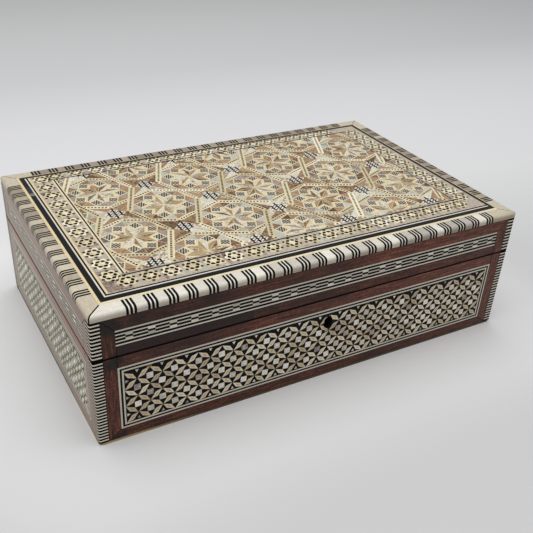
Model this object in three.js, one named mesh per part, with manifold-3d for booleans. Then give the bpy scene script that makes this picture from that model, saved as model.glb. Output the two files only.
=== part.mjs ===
// Marquetry box with a hinged lid: mitred wooden walls, a rabbeted bottom, inlaid mosaic sheets,
// striped corner edgings, rounded bone edging round the lid's top, brass hinges and a small lock.
// Millimetres. +X runs along the front from left to right, +Y goes to the back, +Z is up.
// The origin is in the middle of the underside.

import * as THREE from "three";
import Module from "manifold-3d";
import { mergeVertices } from "three/addons/utils/BufferGeometryUtils.js";

const wasm = await Module();
wasm.setup();

// Overall size
const LENGTH = 250;
const DEPTH = 160;
const HEIGHT = 75;
const CORNER_RADIUS = 1;
const BASE_CORNER_RADIUS = 2.5;
const ARC_STEPS = 6;

// Heights of the layers, from the underside
const BASE_EDGE = 1.3;
const BASE_PLUG = 2;
const SEAM_HEIGHT = 50.2;
const SEAM_GAP = 0.3;
const BONE_HEIGHT = 3.5;

// Wooden walls and boards
const WALL = 8;
const TOP_BOARD = 6.5;
const SHEET = 1;
const GLUE = 0.1;

// Striped corner edgings
const CORNER_STRIP = 4.8;

// Inlaid sheets on the four sides, each between a rail above it and a rail below it
const STILE = 11.5;
const PANEL_TOP_RAIL = 6.6;
const PANEL_BOTTOM_RAIL = 5.4;
const STRIP_TOP_RAIL = 7;
const STRIP_BOTTOM_RAIL = 5.5;

// Top: bone edging, then a border of its own width on each side of the field
const BONE_WIDTH = 7.3;
const BONE_ROUND = 1.8;
const BORDER_LEFT = 27.8;
const BORDER_RIGHT = 23.4;
const BORDER_FRONT = 28.5;
const BORDER_BACK = 17.8;

// Keyhole and lock
const KEYHOLE_X = 2;
const KEYHOLE_DROP = 15;
const KEYHOLE_HALF_WIDTH = 2.6;
const KEYHOLE_HALF_HEIGHT = 4.1;
const KEYHOLE_RAGGED = [0.97, 1.04, 0.93, 1.02, 0.95, 1.03, 0.98, 1.05, 0.92, 1, 0.94, 1.03];
const LOCK_WIDTH = 34;
const LOCK_HEIGHT = 24;
const LOCK_THICKNESS = 4.8;
const LOCK_KEY_DEPTH = 3;
const CATCH_WIDTH = 24;
const CATCH_PLATE = 1;
const CATCH_DEPTH = 5;
const STAPLE_WIDTH = 8;
const STAPLE_THICKNESS = 1.4;
const STAPLE_DROP = 7;
const STAPLE_EYE = 3;
const STAPLE_CLEARANCE = 1;

// Butt hinges at the back seam
const HINGE_SPREAD = 70;
const HINGE_WIDTH = 24;
const HINGE_LEAF = 0.9;
const HINGE_LET_IN = 6.5;
const BARREL_RADIUS = 1.5;
const PIN_RADIUS = 0.6;
const PIN_CLEARANCE = 0.25;
const KNUCKLE_GAP = 0.3;
const BARREL_SEGMENTS = 16;

// Values worked out from the sizes above
const HALF_LENGTH = LENGTH / 2;
const HALF_DEPTH = DEPTH / 2;
const LID_BOTTOM = SEAM_HEIGHT + SEAM_GAP;
const SIDE_TOP = HEIGHT - BONE_HEIGHT;
const BASE_INSIDE = BASE_EDGE + BASE_PLUG;
const SHEET_BED = HEIGHT - SHEET;
const PANEL_BOTTOM = BASE_EDGE + PANEL_BOTTOM_RAIL;
const PANEL_TOP = SEAM_HEIGHT - PANEL_TOP_RAIL;
const STRIP_BOTTOM = LID_BOTTOM + STRIP_BOTTOM_RAIL;
const STRIP_TOP = SIDE_TOP - STRIP_TOP_RAIL;
const KEYHOLE_HEIGHT = SEAM_HEIGHT - KEYHOLE_DROP;
const LOCK_BACK = -HALF_DEPTH + WALL;
const LOCK_FRONT = LOCK_BACK - LOCK_THICKNESS;
const STAPLE_MIDDLE = LOCK_BACK - LOCK_THICKNESS / 2;
const BARREL_Y = HALF_DEPTH + BARREL_RADIUS + GLUE;
const BARREL_Z = SEAM_HEIGHT + SEAM_GAP / 2;
const REACH = 10;

// Finishes
const MAHOGANY = { color: 0x5c3a31, roughness: 0.42, metalness: 0 };
const BASSWOOD = { color: 0xc9b48c, roughness: 0.6, metalness: 0 };
const MOSAIC = { color: 0x6e6250, roughness: 0.35, metalness: 0 };
const STRIPED = { color: 0x8a8378, roughness: 0.4, metalness: 0 };
const STAR_FIELD = { color: 0xb59f84, roughness: 0.3, metalness: 0 };
const ROSETTE_BAND = { color: 0xa89a8c, roughness: 0.3, metalness: 0 };
const BONE = { color: 0xd9cfb6, roughness: 0.35, metalness: 0 };
const BRASS = { color: 0xb08d4a, roughness: 0.35, metalness: 0.9 };

/** Turns a closed three.js geometry into a solid that can be cut and joined. */
function solidOf(geometry) {
  const bare = geometry.index ? geometry.toNonIndexed() : geometry.clone();
  bare.deleteAttribute("normal");
  bare.deleteAttribute("uv");
  const merged = mergeVertices(bare, 1e-4);
  const vertProperties = new Float32Array(merged.attributes.position.array);
  const triVerts = new Uint32Array(merged.index.array);
  return new wasm.Manifold(new wasm.Mesh({ numProp: 3, vertProperties, triVerts }));
}

/** Turns a solid back into a three.js geometry. */
function geometryOf(solid) {
  const mesh = solid.getMesh();
  const geometry = new THREE.BufferGeometry();
  geometry.setAttribute("position", new THREE.BufferAttribute(mesh.vertProperties, 3));
  geometry.setIndex(new THREE.BufferAttribute(mesh.triVerts, 1));
  geometry.computeVertexNormals();
  return geometry;
}

/** A rectangular block between two corners. */
function block(x0, x1, y0, y1, z0, z1) {
  const box = new THREE.BoxGeometry(x1 - x0, y1 - y0, z1 - z0);
  box.translate((x0 + x1) / 2, (y0 + y1) / 2, (z0 + z1) / 2);
  return solidOf(box);
}

/** An upright prism over an outline seen from above. */
function upright(points, z0, z1) {
  const shape = new THREE.Shape(points.map(([x, y]) => new THREE.Vector2(x, y)));
  const prism = new THREE.ExtrudeGeometry(shape, { depth: z1 - z0, bevelEnabled: false });
  prism.translate(0, 0, z0);
  return solidOf(prism);
}

/** A prism along Y over an outline seen from the front, given as x and z. */
function throughFront(points, y0, y1) {
  const shape = new THREE.Shape(points.map(([x, z]) => new THREE.Vector2(x, z)));
  const prism = new THREE.ExtrudeGeometry(shape, { depth: y1 - y0, bevelEnabled: false });
  prism.rotateX(Math.PI / 2);
  prism.translate(0, y1, 0);
  return solidOf(prism);
}

/** A prism along X over an outline seen from the left end, given as y and z. */
function throughEnd(points, x0, x1) {
  const shape = new THREE.Shape(points.map(([y, z]) => new THREE.Vector2(y, z)));
  const prism = new THREE.ExtrudeGeometry(shape, { depth: x1 - x0, bevelEnabled: false });
  prism.applyMatrix4(new THREE.Matrix4().set(0, 0, 1, 0, 1, 0, 0, 0, 0, 1, 0, 0, 0, 0, 0, 1));
  prism.translate(x0, 0, 0);
  return solidOf(prism);
}

/** A round bar along X. */
function barAlongX(radius, x0, x1, y, z) {
  const bar = new THREE.CylinderGeometry(radius, radius, x1 - x0, BARREL_SEGMENTS);
  bar.rotateZ(Math.PI / 2);
  bar.translate((x0 + x1) / 2, y, z);
  return solidOf(bar);
}

/** The points of a rounded rectangle, half sizes given, with all four corners rounded. */
function roundedRectangle(halfX, halfY, radius) {
  const points = [];
  const quarter = Math.PI / 2;
  for (let corner = 0; corner < 4; corner += 1) {
    const sideX = corner === 0 || corner === 3 ? 1 : -1;
    const sideY = corner < 2 ? 1 : -1;
    for (let step = 0; step <= ARC_STEPS; step += 1) {
      const angle = quarter * (corner + step / ARC_STEPS);
      const x = sideX * (halfX - radius) + radius * Math.cos(angle);
      const y = sideY * (halfY - radius) + radius * Math.sin(angle);
      points.push([x, y]);
    }
  }
  return points;
}

/** A section with a flat foot and both top corners rounded, for the edging's outer shape. */
function roundedTopSection(half, foot, top, radius) {
  const points = [[half, foot]];
  for (let side = 0; side < 2; side += 1) {
    for (let step = 0; step <= ARC_STEPS; step += 1) {
      const angle = (Math.PI / 2) * (side + step / ARC_STEPS);
      const across = (side === 0 ? 1 : -1) * (half - radius);
      points.push([across + radius * Math.cos(angle), top - radius + radius * Math.sin(angle)]);
    }
  }
  points.push([-half, foot]);
  return points;
}

const model = new THREE.Group();

/** Adds a solid to the model as a named sub-part with its finish. */
function addPart(name, solid, finish) {
  const mesh = new THREE.Mesh(geometryOf(solid), new THREE.MeshStandardMaterial(finish));
  mesh.name = name;
  model.add(mesh);
}

// The four sides: which way each faces, and its half length and half depth
const SIDES = {
  front: { along: "x", sign: -1, half: HALF_LENGTH, out: HALF_DEPTH },
  back: { along: "x", sign: 1, half: HALF_LENGTH, out: HALF_DEPTH },
  left: { along: "y", sign: -1, half: HALF_DEPTH, out: HALF_LENGTH },
  right: { along: "y", sign: 1, half: HALF_DEPTH, out: HALF_LENGTH },
};

/** Puts a point given along a side and outwards from the middle into the model's x and y. */
function onSide(side, along, out) {
  return side.along === "x" ? [along, side.sign * out] : [side.sign * out, along];
}

/** A block given along a side, outwards and in height. */
function sideBlock(side, along0, along1, out0, out1, z0, z1) {
  const [xa, ya] = onSide(side, along0, out0);
  const [xb, yb] = onSide(side, along1, out1);
  return block(Math.min(xa, xb), Math.max(xa, xb), Math.min(ya, yb), Math.max(ya, yb), z0, z1);
}

/** Plan of one wall: mitred at the ends and notched for the corner edgings. */
function wallPlan(side) {
  const notch = side.half - CORNER_STRIP - GLUE;
  const inner = side.half - WALL - GLUE;
  const lip = side.out - CORNER_STRIP;
  const plan = [[-notch, side.out], [notch, side.out], [notch, lip], [inner, side.out - WALL],
    [-inner, side.out - WALL], [-notch, lip]];
  return plan.map(([along, out]) => onSide(side, along, out));
}

/** A sheet let in flush on a side, grown by a margin where it is used to cut its own bed. */
function sideSheet(side, z0, z1, margin, proud) {
  const half = side.half - STILE + margin;
  return sideBlock(side, -half, half, side.out - SHEET - margin, side.out + proud, z0 - margin, z1 + margin);
}

/** The worn oval of the keyhole, as a prism between two depths, grown by a margin. */
function keyhole(y0, y1, margin) {
  const points = KEYHOLE_RAGGED.map((share, index) => {
    const angle = (index * 2 * Math.PI) / KEYHOLE_RAGGED.length;
    const x = (KEYHOLE_HALF_WIDTH * share + margin) * Math.cos(angle);
    const z = (KEYHOLE_HALF_HEIGHT * share + margin) * Math.sin(angle);
    return [KEYHOLE_X + x, KEYHOLE_HEIGHT + z];
  });
  return throughFront(points, y0, y1);
}

/** The bed of one hinge leaf in a wall's rim. */
function hingeBed(centre, z0, z1) {
  const half = HINGE_WIDTH / 2 + GLUE;
  return block(centre - half, centre + half, HALF_DEPTH - HINGE_LET_IN - GLUE, HALF_DEPTH + REACH, z0, z1);
}

// Bottom board: a thin edge that shows all round, and a plug between the walls
const plugX = HALF_LENGTH - WALL - GLUE;
const plugY = HALF_DEPTH - WALL - GLUE;
const baseEdge = upright(roundedRectangle(HALF_LENGTH, HALF_DEPTH, BASE_CORNER_RADIUS), 0, BASE_EDGE - GLUE);
const basePlug = block(-plugX, plugX, -plugY, plugY, 0, BASE_INSIDE);
addPart("base_board", baseEdge.add(basePlug), BASSWOOD);

// Walls of the body and of the lid, with the beds of their inlaid sheets
const HINGE_CENTRES = { left: -HINGE_SPREAD, right: HINGE_SPREAD };
for (const [name, side] of Object.entries(SIDES)) {
  let bodyWall = upright(wallPlan(side), BASE_EDGE, SEAM_HEIGHT);
  bodyWall = bodyWall.subtract(sideSheet(side, PANEL_BOTTOM, PANEL_TOP, GLUE, REACH));
  let lidWall = upright(wallPlan(side), LID_BOTTOM, SIDE_TOP - GLUE);
  lidWall = lidWall.subtract(sideSheet(side, STRIP_BOTTOM, STRIP_TOP, GLUE, REACH));
  if (name === "front") {
    const lockHalf = LOCK_WIDTH / 2 + GLUE;
    const lockBed = block(KEYHOLE_X - lockHalf, KEYHOLE_X + lockHalf, LOCK_FRONT - GLUE, LOCK_BACK + REACH,
      SEAM_HEIGHT - LOCK_HEIGHT - GLUE, SEAM_HEIGHT + REACH);
    bodyWall = bodyWall.subtract(lockBed).subtract(keyhole(-HALF_DEPTH - REACH, LOCK_BACK, 0));
    const catchHalf = CATCH_WIDTH / 2 + GLUE;
    const catchBed = block(KEYHOLE_X - catchHalf, KEYHOLE_X + catchHalf,
      STAPLE_MIDDLE - CATCH_DEPTH / 2 - GLUE, STAPLE_MIDDLE + CATCH_DEPTH / 2 + GLUE,
      LID_BOTTOM - REACH, LID_BOTTOM + CATCH_PLATE + GLUE);
    lidWall = lidWall.subtract(catchBed);
  }
  if (name === "back") {
    for (const centre of Object.values(HINGE_CENTRES)) {
      bodyWall = bodyWall.subtract(hingeBed(centre, SEAM_HEIGHT - HINGE_LEAF - GLUE, SEAM_HEIGHT + REACH));
      lidWall = lidWall.subtract(hingeBed(centre, LID_BOTTOM - REACH, LID_BOTTOM + HINGE_LEAF + GLUE));
    }
  }
  addPart(`body_${name}_board`, bodyWall, MAHOGANY);
  addPart(`lid_${name}_board`, lidWall, MAHOGANY);

  let panel = sideSheet(side, PANEL_BOTTOM, PANEL_TOP, 0, 0);
  if (name === "front") {
    panel = panel.subtract(keyhole(-HALF_DEPTH - REACH, LOCK_BACK, 0));
  }
  addPart(`body_${name}_panel`, panel, MOSAIC);
  addPart(`lid_${name}_strip`, sideSheet(side, STRIP_BOTTOM, STRIP_TOP, 0, 0), MOSAIC);
}

/** Plan of a corner edging: a square with its outer corner rounded, in the corner that the signs name. */
function cornerPlan(signX, signY) {
  const far = CORNER_STRIP;
  const points = [[far, far], [0, far]];
  for (let step = 0; step <= ARC_STEPS; step += 1) {
    const angle = Math.PI + (Math.PI / 2) * (step / ARC_STEPS);
    points.push([CORNER_RADIUS * (1 + Math.cos(angle)), CORNER_RADIUS * (1 + Math.sin(angle))]);
  }
  points.push([far, 0]);
  return points.map(([inX, inY]) => [signX * (HALF_LENGTH - inX), signY * (HALF_DEPTH - inY)]);
}

// Striped edgings on the upright corners, in two lengths parted at the seam
const CORNER_SIGNS = [[-1, -1], [1, -1], [1, 1], [-1, 1]];
CORNER_SIGNS.forEach(([signX, signY], index) => {
  const plan = cornerPlan(signX, signY);
  addPart(`body_corner_${index + 1}`, upright(plan, BASE_EDGE, SEAM_HEIGHT), STRIPED);
  addPart(`lid_corner_${index + 1}`, upright(plan, LID_BOTTOM, SIDE_TOP - GLUE), STRIPED);
});

// Board under the top: its lower part sits between the lid's walls, its upper part lies on them
const seatX = HALF_LENGTH - BONE_WIDTH - GLUE;
const seatY = HALF_DEPTH - BONE_WIDTH - GLUE;
const boardTop = SHEET_BED - GLUE;
const boardLower = block(-plugX, plugX, -plugY, plugY, boardTop - TOP_BOARD, boardTop);
addPart("lid_top_board", boardLower.add(block(-seatX, seatX, -seatY, seatY, SIDE_TOP, boardTop)), MAHOGANY);

// The star field and the four border sheets round it
const fieldX0 = -HALF_LENGTH + BORDER_LEFT;
const fieldX1 = HALF_LENGTH - BORDER_RIGHT;
const fieldY0 = -HALF_DEPTH + BORDER_FRONT;
const fieldY1 = HALF_DEPTH - BORDER_BACK;
addPart("top_field", block(fieldX0, fieldX1, fieldY0, fieldY1, SHEET_BED, HEIGHT), STAR_FIELD);
const topBands = {
  front: [-seatX, seatX, -seatY, fieldY0 - GLUE],
  back: [-seatX, seatX, fieldY1 + GLUE, seatY],
  left: [-seatX, fieldX0 - GLUE, fieldY0, fieldY1],
  right: [fieldX1 + GLUE, seatX, fieldY0, fieldY1],
};
for (const [name, [x0, x1, y0, y1]] of Object.entries(topBands)) {
  addPart(`top_band_${name}`, block(x0, x1, y0, y1, SHEET_BED, HEIGHT), ROSETTE_BAND);
}

/** Plan of one bone edging: a trapezoid cut at both mitres with half a joint's gap. */
function mitrePlan(side) {
  const outer = side.half - GLUE;
  const inner = side.half - BONE_WIDTH - GLUE;
  const plan = [[-outer, side.out], [outer, side.out], [inner, side.out - BONE_WIDTH],
    [-inner, side.out - BONE_WIDTH]];
  return plan.map(([along, out]) => onSide(side, along, out));
}

// Bone edging: one rounded ring, parted into four mitred lengths
const acrossDepth = roundedTopSection(HALF_DEPTH, SIDE_TOP, HEIGHT, BONE_ROUND);
const acrossLength = roundedTopSection(HALF_LENGTH, SIDE_TOP, HEIGHT, BONE_ROUND);
const cushion = throughEnd(acrossDepth, -HALF_LENGTH, HALF_LENGTH)
  .intersect(throughFront(acrossLength, -HALF_DEPTH, HALF_DEPTH))
  .intersect(upright(roundedRectangle(HALF_LENGTH, HALF_DEPTH, CORNER_RADIUS), SIDE_TOP, HEIGHT));
for (const [name, side] of Object.entries(SIDES)) {
  const length = cushion.intersect(upright(mitrePlan(side), SIDE_TOP, HEIGHT));
  addPart(`bone_edge_${name}`, length, BONE);
}

// Lock: a brass case let into the front wall from the inside, with a keyway and a slot for the staple
const lockBody = block(KEYHOLE_X - LOCK_WIDTH / 2, KEYHOLE_X + LOCK_WIDTH / 2, LOCK_FRONT, LOCK_BACK,
  SEAM_HEIGHT - LOCK_HEIGHT, SEAM_HEIGHT);
const slotHalfX = STAPLE_WIDTH / 2 + STAPLE_CLEARANCE;
const slotHalfY = STAPLE_THICKNESS / 2 + STAPLE_CLEARANCE;
const stapleSlot = block(KEYHOLE_X - slotHalfX, KEYHOLE_X + slotHalfX,
  STAPLE_MIDDLE - slotHalfY, STAPLE_MIDDLE + slotHalfY,
  SEAM_HEIGHT - STAPLE_DROP - STAPLE_CLEARANCE, SEAM_HEIGHT + REACH);
const keyway = keyhole(LOCK_FRONT - REACH, LOCK_FRONT + LOCK_KEY_DEPTH, 0);
addPart("lock_case", lockBody.subtract(stapleSlot).subtract(keyway), BRASS);

// Catch on the lid: a plate let into the rim, with a staple that drops into the lock
const catchPlate = block(KEYHOLE_X - CATCH_WIDTH / 2, KEYHOLE_X + CATCH_WIDTH / 2,
  STAPLE_MIDDLE - CATCH_DEPTH / 2, STAPLE_MIDDLE + CATCH_DEPTH / 2, LID_BOTTOM, LID_BOTTOM + CATCH_PLATE);
const staple = block(KEYHOLE_X - STAPLE_WIDTH / 2, KEYHOLE_X + STAPLE_WIDTH / 2,
  STAPLE_MIDDLE - STAPLE_THICKNESS / 2, STAPLE_MIDDLE + STAPLE_THICKNESS / 2,
  SEAM_HEIGHT - STAPLE_DROP, LID_BOTTOM + CATCH_PLATE / 2);
const eyeMiddle = SEAM_HEIGHT - STAPLE_DROP / 2;
const stapleEye = block(KEYHOLE_X - STAPLE_EYE / 2, KEYHOLE_X + STAPLE_EYE / 2,
  STAPLE_MIDDLE - STAPLE_THICKNESS, STAPLE_MIDDLE + STAPLE_THICKNESS,
  eyeMiddle - STAPLE_EYE / 2, eyeMiddle + STAPLE_EYE / 2);
addPart("lock_catch", catchPlate.add(staple).subtract(stapleEye), BRASS);

/** One hinge leaf: a plate let into a rim, with its knuckles between the given stops along X. */
function hingeLeaf(centre, z0, z1, knuckles) {
  const half = HINGE_WIDTH / 2;
  let leaf = block(centre - half, centre + half, HALF_DEPTH - HINGE_LET_IN, HALF_DEPTH, z0, z1);
  for (const [from, to] of knuckles) {
    leaf = leaf.add(block(centre + from, centre + to, HALF_DEPTH - HINGE_LET_IN, BARREL_Y, z0, z1));
    leaf = leaf.add(barAlongX(BARREL_RADIUS, centre + from, centre + to, BARREL_Y, BARREL_Z));
  }
  return leaf;
}

// Hinges: the lower leaf holds the two outer knuckles and the pin, the upper one the middle knuckle
const middleHalf = HINGE_WIDTH / 6;
for (const [name, centre] of Object.entries(HINGE_CENTRES)) {
  const outerKnuckles = [[-HINGE_WIDTH / 2, -middleHalf], [middleHalf, HINGE_WIDTH / 2]];
  const middleKnuckle = [[-middleHalf + KNUCKLE_GAP, middleHalf - KNUCKLE_GAP]];
  const pin = barAlongX(PIN_RADIUS, centre - HINGE_WIDTH / 3, centre + HINGE_WIDTH / 3, BARREL_Y, BARREL_Z);
  const bore = barAlongX(PIN_RADIUS + PIN_CLEARANCE, centre - HINGE_WIDTH, centre + HINGE_WIDTH,
    BARREL_Y, BARREL_Z);
  const lower = hingeLeaf(centre, SEAM_HEIGHT - HINGE_LEAF, SEAM_HEIGHT, outerKnuckles).add(pin);
  const upper = hingeLeaf(centre, LID_BOTTOM, LID_BOTTOM + HINGE_LEAF, middleKnuckle).subtract(bore);
  addPart(`hinge_${name}_lower`, lower, BRASS);
  addPart(`hinge_${name}_upper`, upper, BRASS);
}

export default model;
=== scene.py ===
"""Dresses the marquetry box: inlaid sheets, striped edgings, bone, wood, brass, light and camera."""

import logging
import math
import random
from dataclasses import dataclass, field, replace
from enum import Enum

import bmesh
import bpy
from mathutils import Matrix, Vector


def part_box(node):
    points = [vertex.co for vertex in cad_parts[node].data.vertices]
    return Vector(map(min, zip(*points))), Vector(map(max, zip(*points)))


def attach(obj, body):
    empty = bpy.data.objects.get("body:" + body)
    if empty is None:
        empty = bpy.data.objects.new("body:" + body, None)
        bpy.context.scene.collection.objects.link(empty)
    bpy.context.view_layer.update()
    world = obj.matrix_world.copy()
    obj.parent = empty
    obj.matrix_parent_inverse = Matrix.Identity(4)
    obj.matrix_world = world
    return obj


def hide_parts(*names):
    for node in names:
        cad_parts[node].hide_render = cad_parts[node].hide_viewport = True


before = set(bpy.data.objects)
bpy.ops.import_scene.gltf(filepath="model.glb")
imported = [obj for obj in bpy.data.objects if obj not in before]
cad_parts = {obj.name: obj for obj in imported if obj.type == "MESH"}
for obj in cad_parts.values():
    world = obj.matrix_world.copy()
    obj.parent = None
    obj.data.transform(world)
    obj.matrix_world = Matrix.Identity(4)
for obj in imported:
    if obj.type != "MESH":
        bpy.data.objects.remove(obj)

LOG = logging.getLogger("marquetry_box")
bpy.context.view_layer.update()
MM = 0.001
SEED = 1907

# Each layer of inlay stands this much over the one it crosses, in millimetres, to keep it seen
LAYER = 0.015
# The lowest layer's top lies this far below the sheet's face
FLUSH = 0.1
# The inlay reaches this far into its sheet, and the sheet's own body starts this far down
INLAY_DEPTH = 0.6
GROUND_DEPTH = 0.35
# Corners of a piece nearer than this, in millimetres, are one
SAME_CORNER = 1e-4
# Pieces smaller than the first area, and parts beside a hole smaller than the second, are left out;
# both are in square millimetres
LEAST_AREA = 0.004
LEAST_PART = 1e-4
# Corners and planes of the solids nearer than this, in metres, are one
SAME_PLACE = 1e-6
# The fine flecks of every finish are this wide, and its sheen is slightly warm
FLECK_MM = 1.2
SHEEN_TINT = "#fff3df"

Point = tuple[float, float]
Triple = tuple[float, float, float]
Rect = tuple[float, float, float, float]
Outline = list[Point]
Tree = bpy.types.NodeTree
Socket = bpy.types.NodeSocket


def linear(colour: str) -> tuple[float, float, float, float]:
    """Turns an sRGB hex colour into linear values for a shader.

    Args:
        colour: six hex digits after a hash sign.

    Returns:
        Red, green, blue and alpha, with alpha 1.
    """
    shares = [int(colour[place:place + 2], 16) / 255 for place in (1, 3, 5)]
    values = [s / 12.92 if s <= 0.04045 else ((s + 0.055) / 1.055) ** 2.4 for s in shares]
    return values[0], values[1], values[2], 1.0


def add_node(tree: Tree, kind: str, settings: dict | None = None,
             inputs: dict | None = None) -> bpy.types.Node:
    """Adds a node, sets its properties, and sets or links its inputs.

    Args:
        tree: the node tree that gets the node.
        kind: the node's type name.
        settings: property names and values.
        inputs: socket names or numbers, each with a value or the output socket to link from.

    Returns:
        The new node.
    """
    node = tree.nodes.new(kind)
    for name, value in (settings or {}).items():
        setattr(node, name, value)
    for name, value in (inputs or {}).items():
        if isinstance(value, Socket):
            tree.links.new(value, node.inputs[name])
        else:
            node.inputs[name].default_value = value
    return node


def ramp_stops(node: bpy.types.Node, stops: list[tuple[float, str]]) -> None:
    """Sets the colours of a colour ramp.

    Args:
        node: the colour ramp node.
        stops: places from 0 to 1, each with its hex colour.
    """
    elements = node.color_ramp.elements
    while len(elements) < len(stops):
        elements.new(0.5)
    for element, (place, colour) in zip(elements, stops):
        element.position = place
        element.color = linear(colour)


def maths(tree: Tree, operation: str, *values: object) -> Socket:
    """One sum on values or sockets."""
    return add_node(tree, "ShaderNodeMath", {"operation": operation}, dict(enumerate(values))).outputs[0]


def vectors(tree: Tree, operation: str, *values: object) -> Socket:
    """One sum on vectors, as a vector, or as a value where the sum gives one."""
    made = add_node(tree, "ShaderNodeVectorMath", {"operation": operation}, dict(enumerate(values)))
    return made.outputs["Value" if operation in ("DISTANCE", "DOT_PRODUCT", "LENGTH") else "Vector"]


def ranged(tree: Tree, value: Socket, start: Point, end: Point, kind: str = "LINEAR") -> Socket:
    """Moves a value from one range to another.

    Args:
        tree: the node tree.
        value: the value.
        start: a value, and what it becomes.
        end: another value, and what it becomes; past both the result stays the same.
        kind: how the values between them run.

    Returns:
        The socket that carries the result.
    """
    return add_node(tree, "ShaderNodeMapRange", {"interpolation_type": kind}, {
        "Value": value, "From Min": start[0], "From Max": end[0], "To Min": start[1],
        "To Max": end[1]}).outputs["Result"]


def blended(tree: Tree, share: object, first: object, second: object, kind: str = "MIX") -> Socket:
    """Mixes the second colour into the first by a share."""
    return add_node(tree, "ShaderNodeMix", {"data_type": "RGBA", "blend_type": kind},
                    {0: share, 6: first, 7: second}).outputs[2]


def noise(tree: Tree, place: Socket, scale: float, detail: float, roughness: float, distortion: float = 0.0,
          output: str = "Fac") -> Socket:
    """A noise pattern on a place."""
    return add_node(tree, "ShaderNodeTexNoise", inputs={
        "Vector": place, "Scale": scale, "Detail": detail, "Roughness": roughness,
        "Distortion": distortion}).outputs[output]


def own_place(tree: Tree) -> Socket:
    """The piece's own metres."""
    return add_node(tree, "ShaderNodeTexCoord").outputs["Object"]


def own_height(tree: Tree) -> Socket:
    """The height in the piece's own metres."""
    return add_node(tree, "ShaderNodeSeparateXYZ", inputs={"Vector": own_place(tree)}).outputs["Z"]


def face_value(tree: Tree, name: str, output: str = "Fac") -> Socket:
    """What a face carries under a name."""
    return add_node(tree, "ShaderNodeAttribute", {"attribute_name": name}).outputs[output]


def linked(name: str, data: bpy.types.ID) -> bpy.types.Object:
    """Makes an object of some data and links it to the scene."""
    made = bpy.data.objects.new(name, data)
    bpy.context.scene.collection.objects.link(made)
    return made


def plain_mesh(source: bmesh.types.BMesh) -> bpy.types.Mesh:
    """Turns an editable mesh into a plain one and frees it."""
    mesh = bpy.data.meshes.new("part")
    source.to_mesh(mesh)
    source.free()
    return mesh


class Texture(Enum):
    """The kinds of figure, each with its scale along the grain as a share of that across it."""

    GRAIN = 0.07
    PEARL = 0.6
    BONE = 0.12
    DENSE = 0.3


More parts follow.
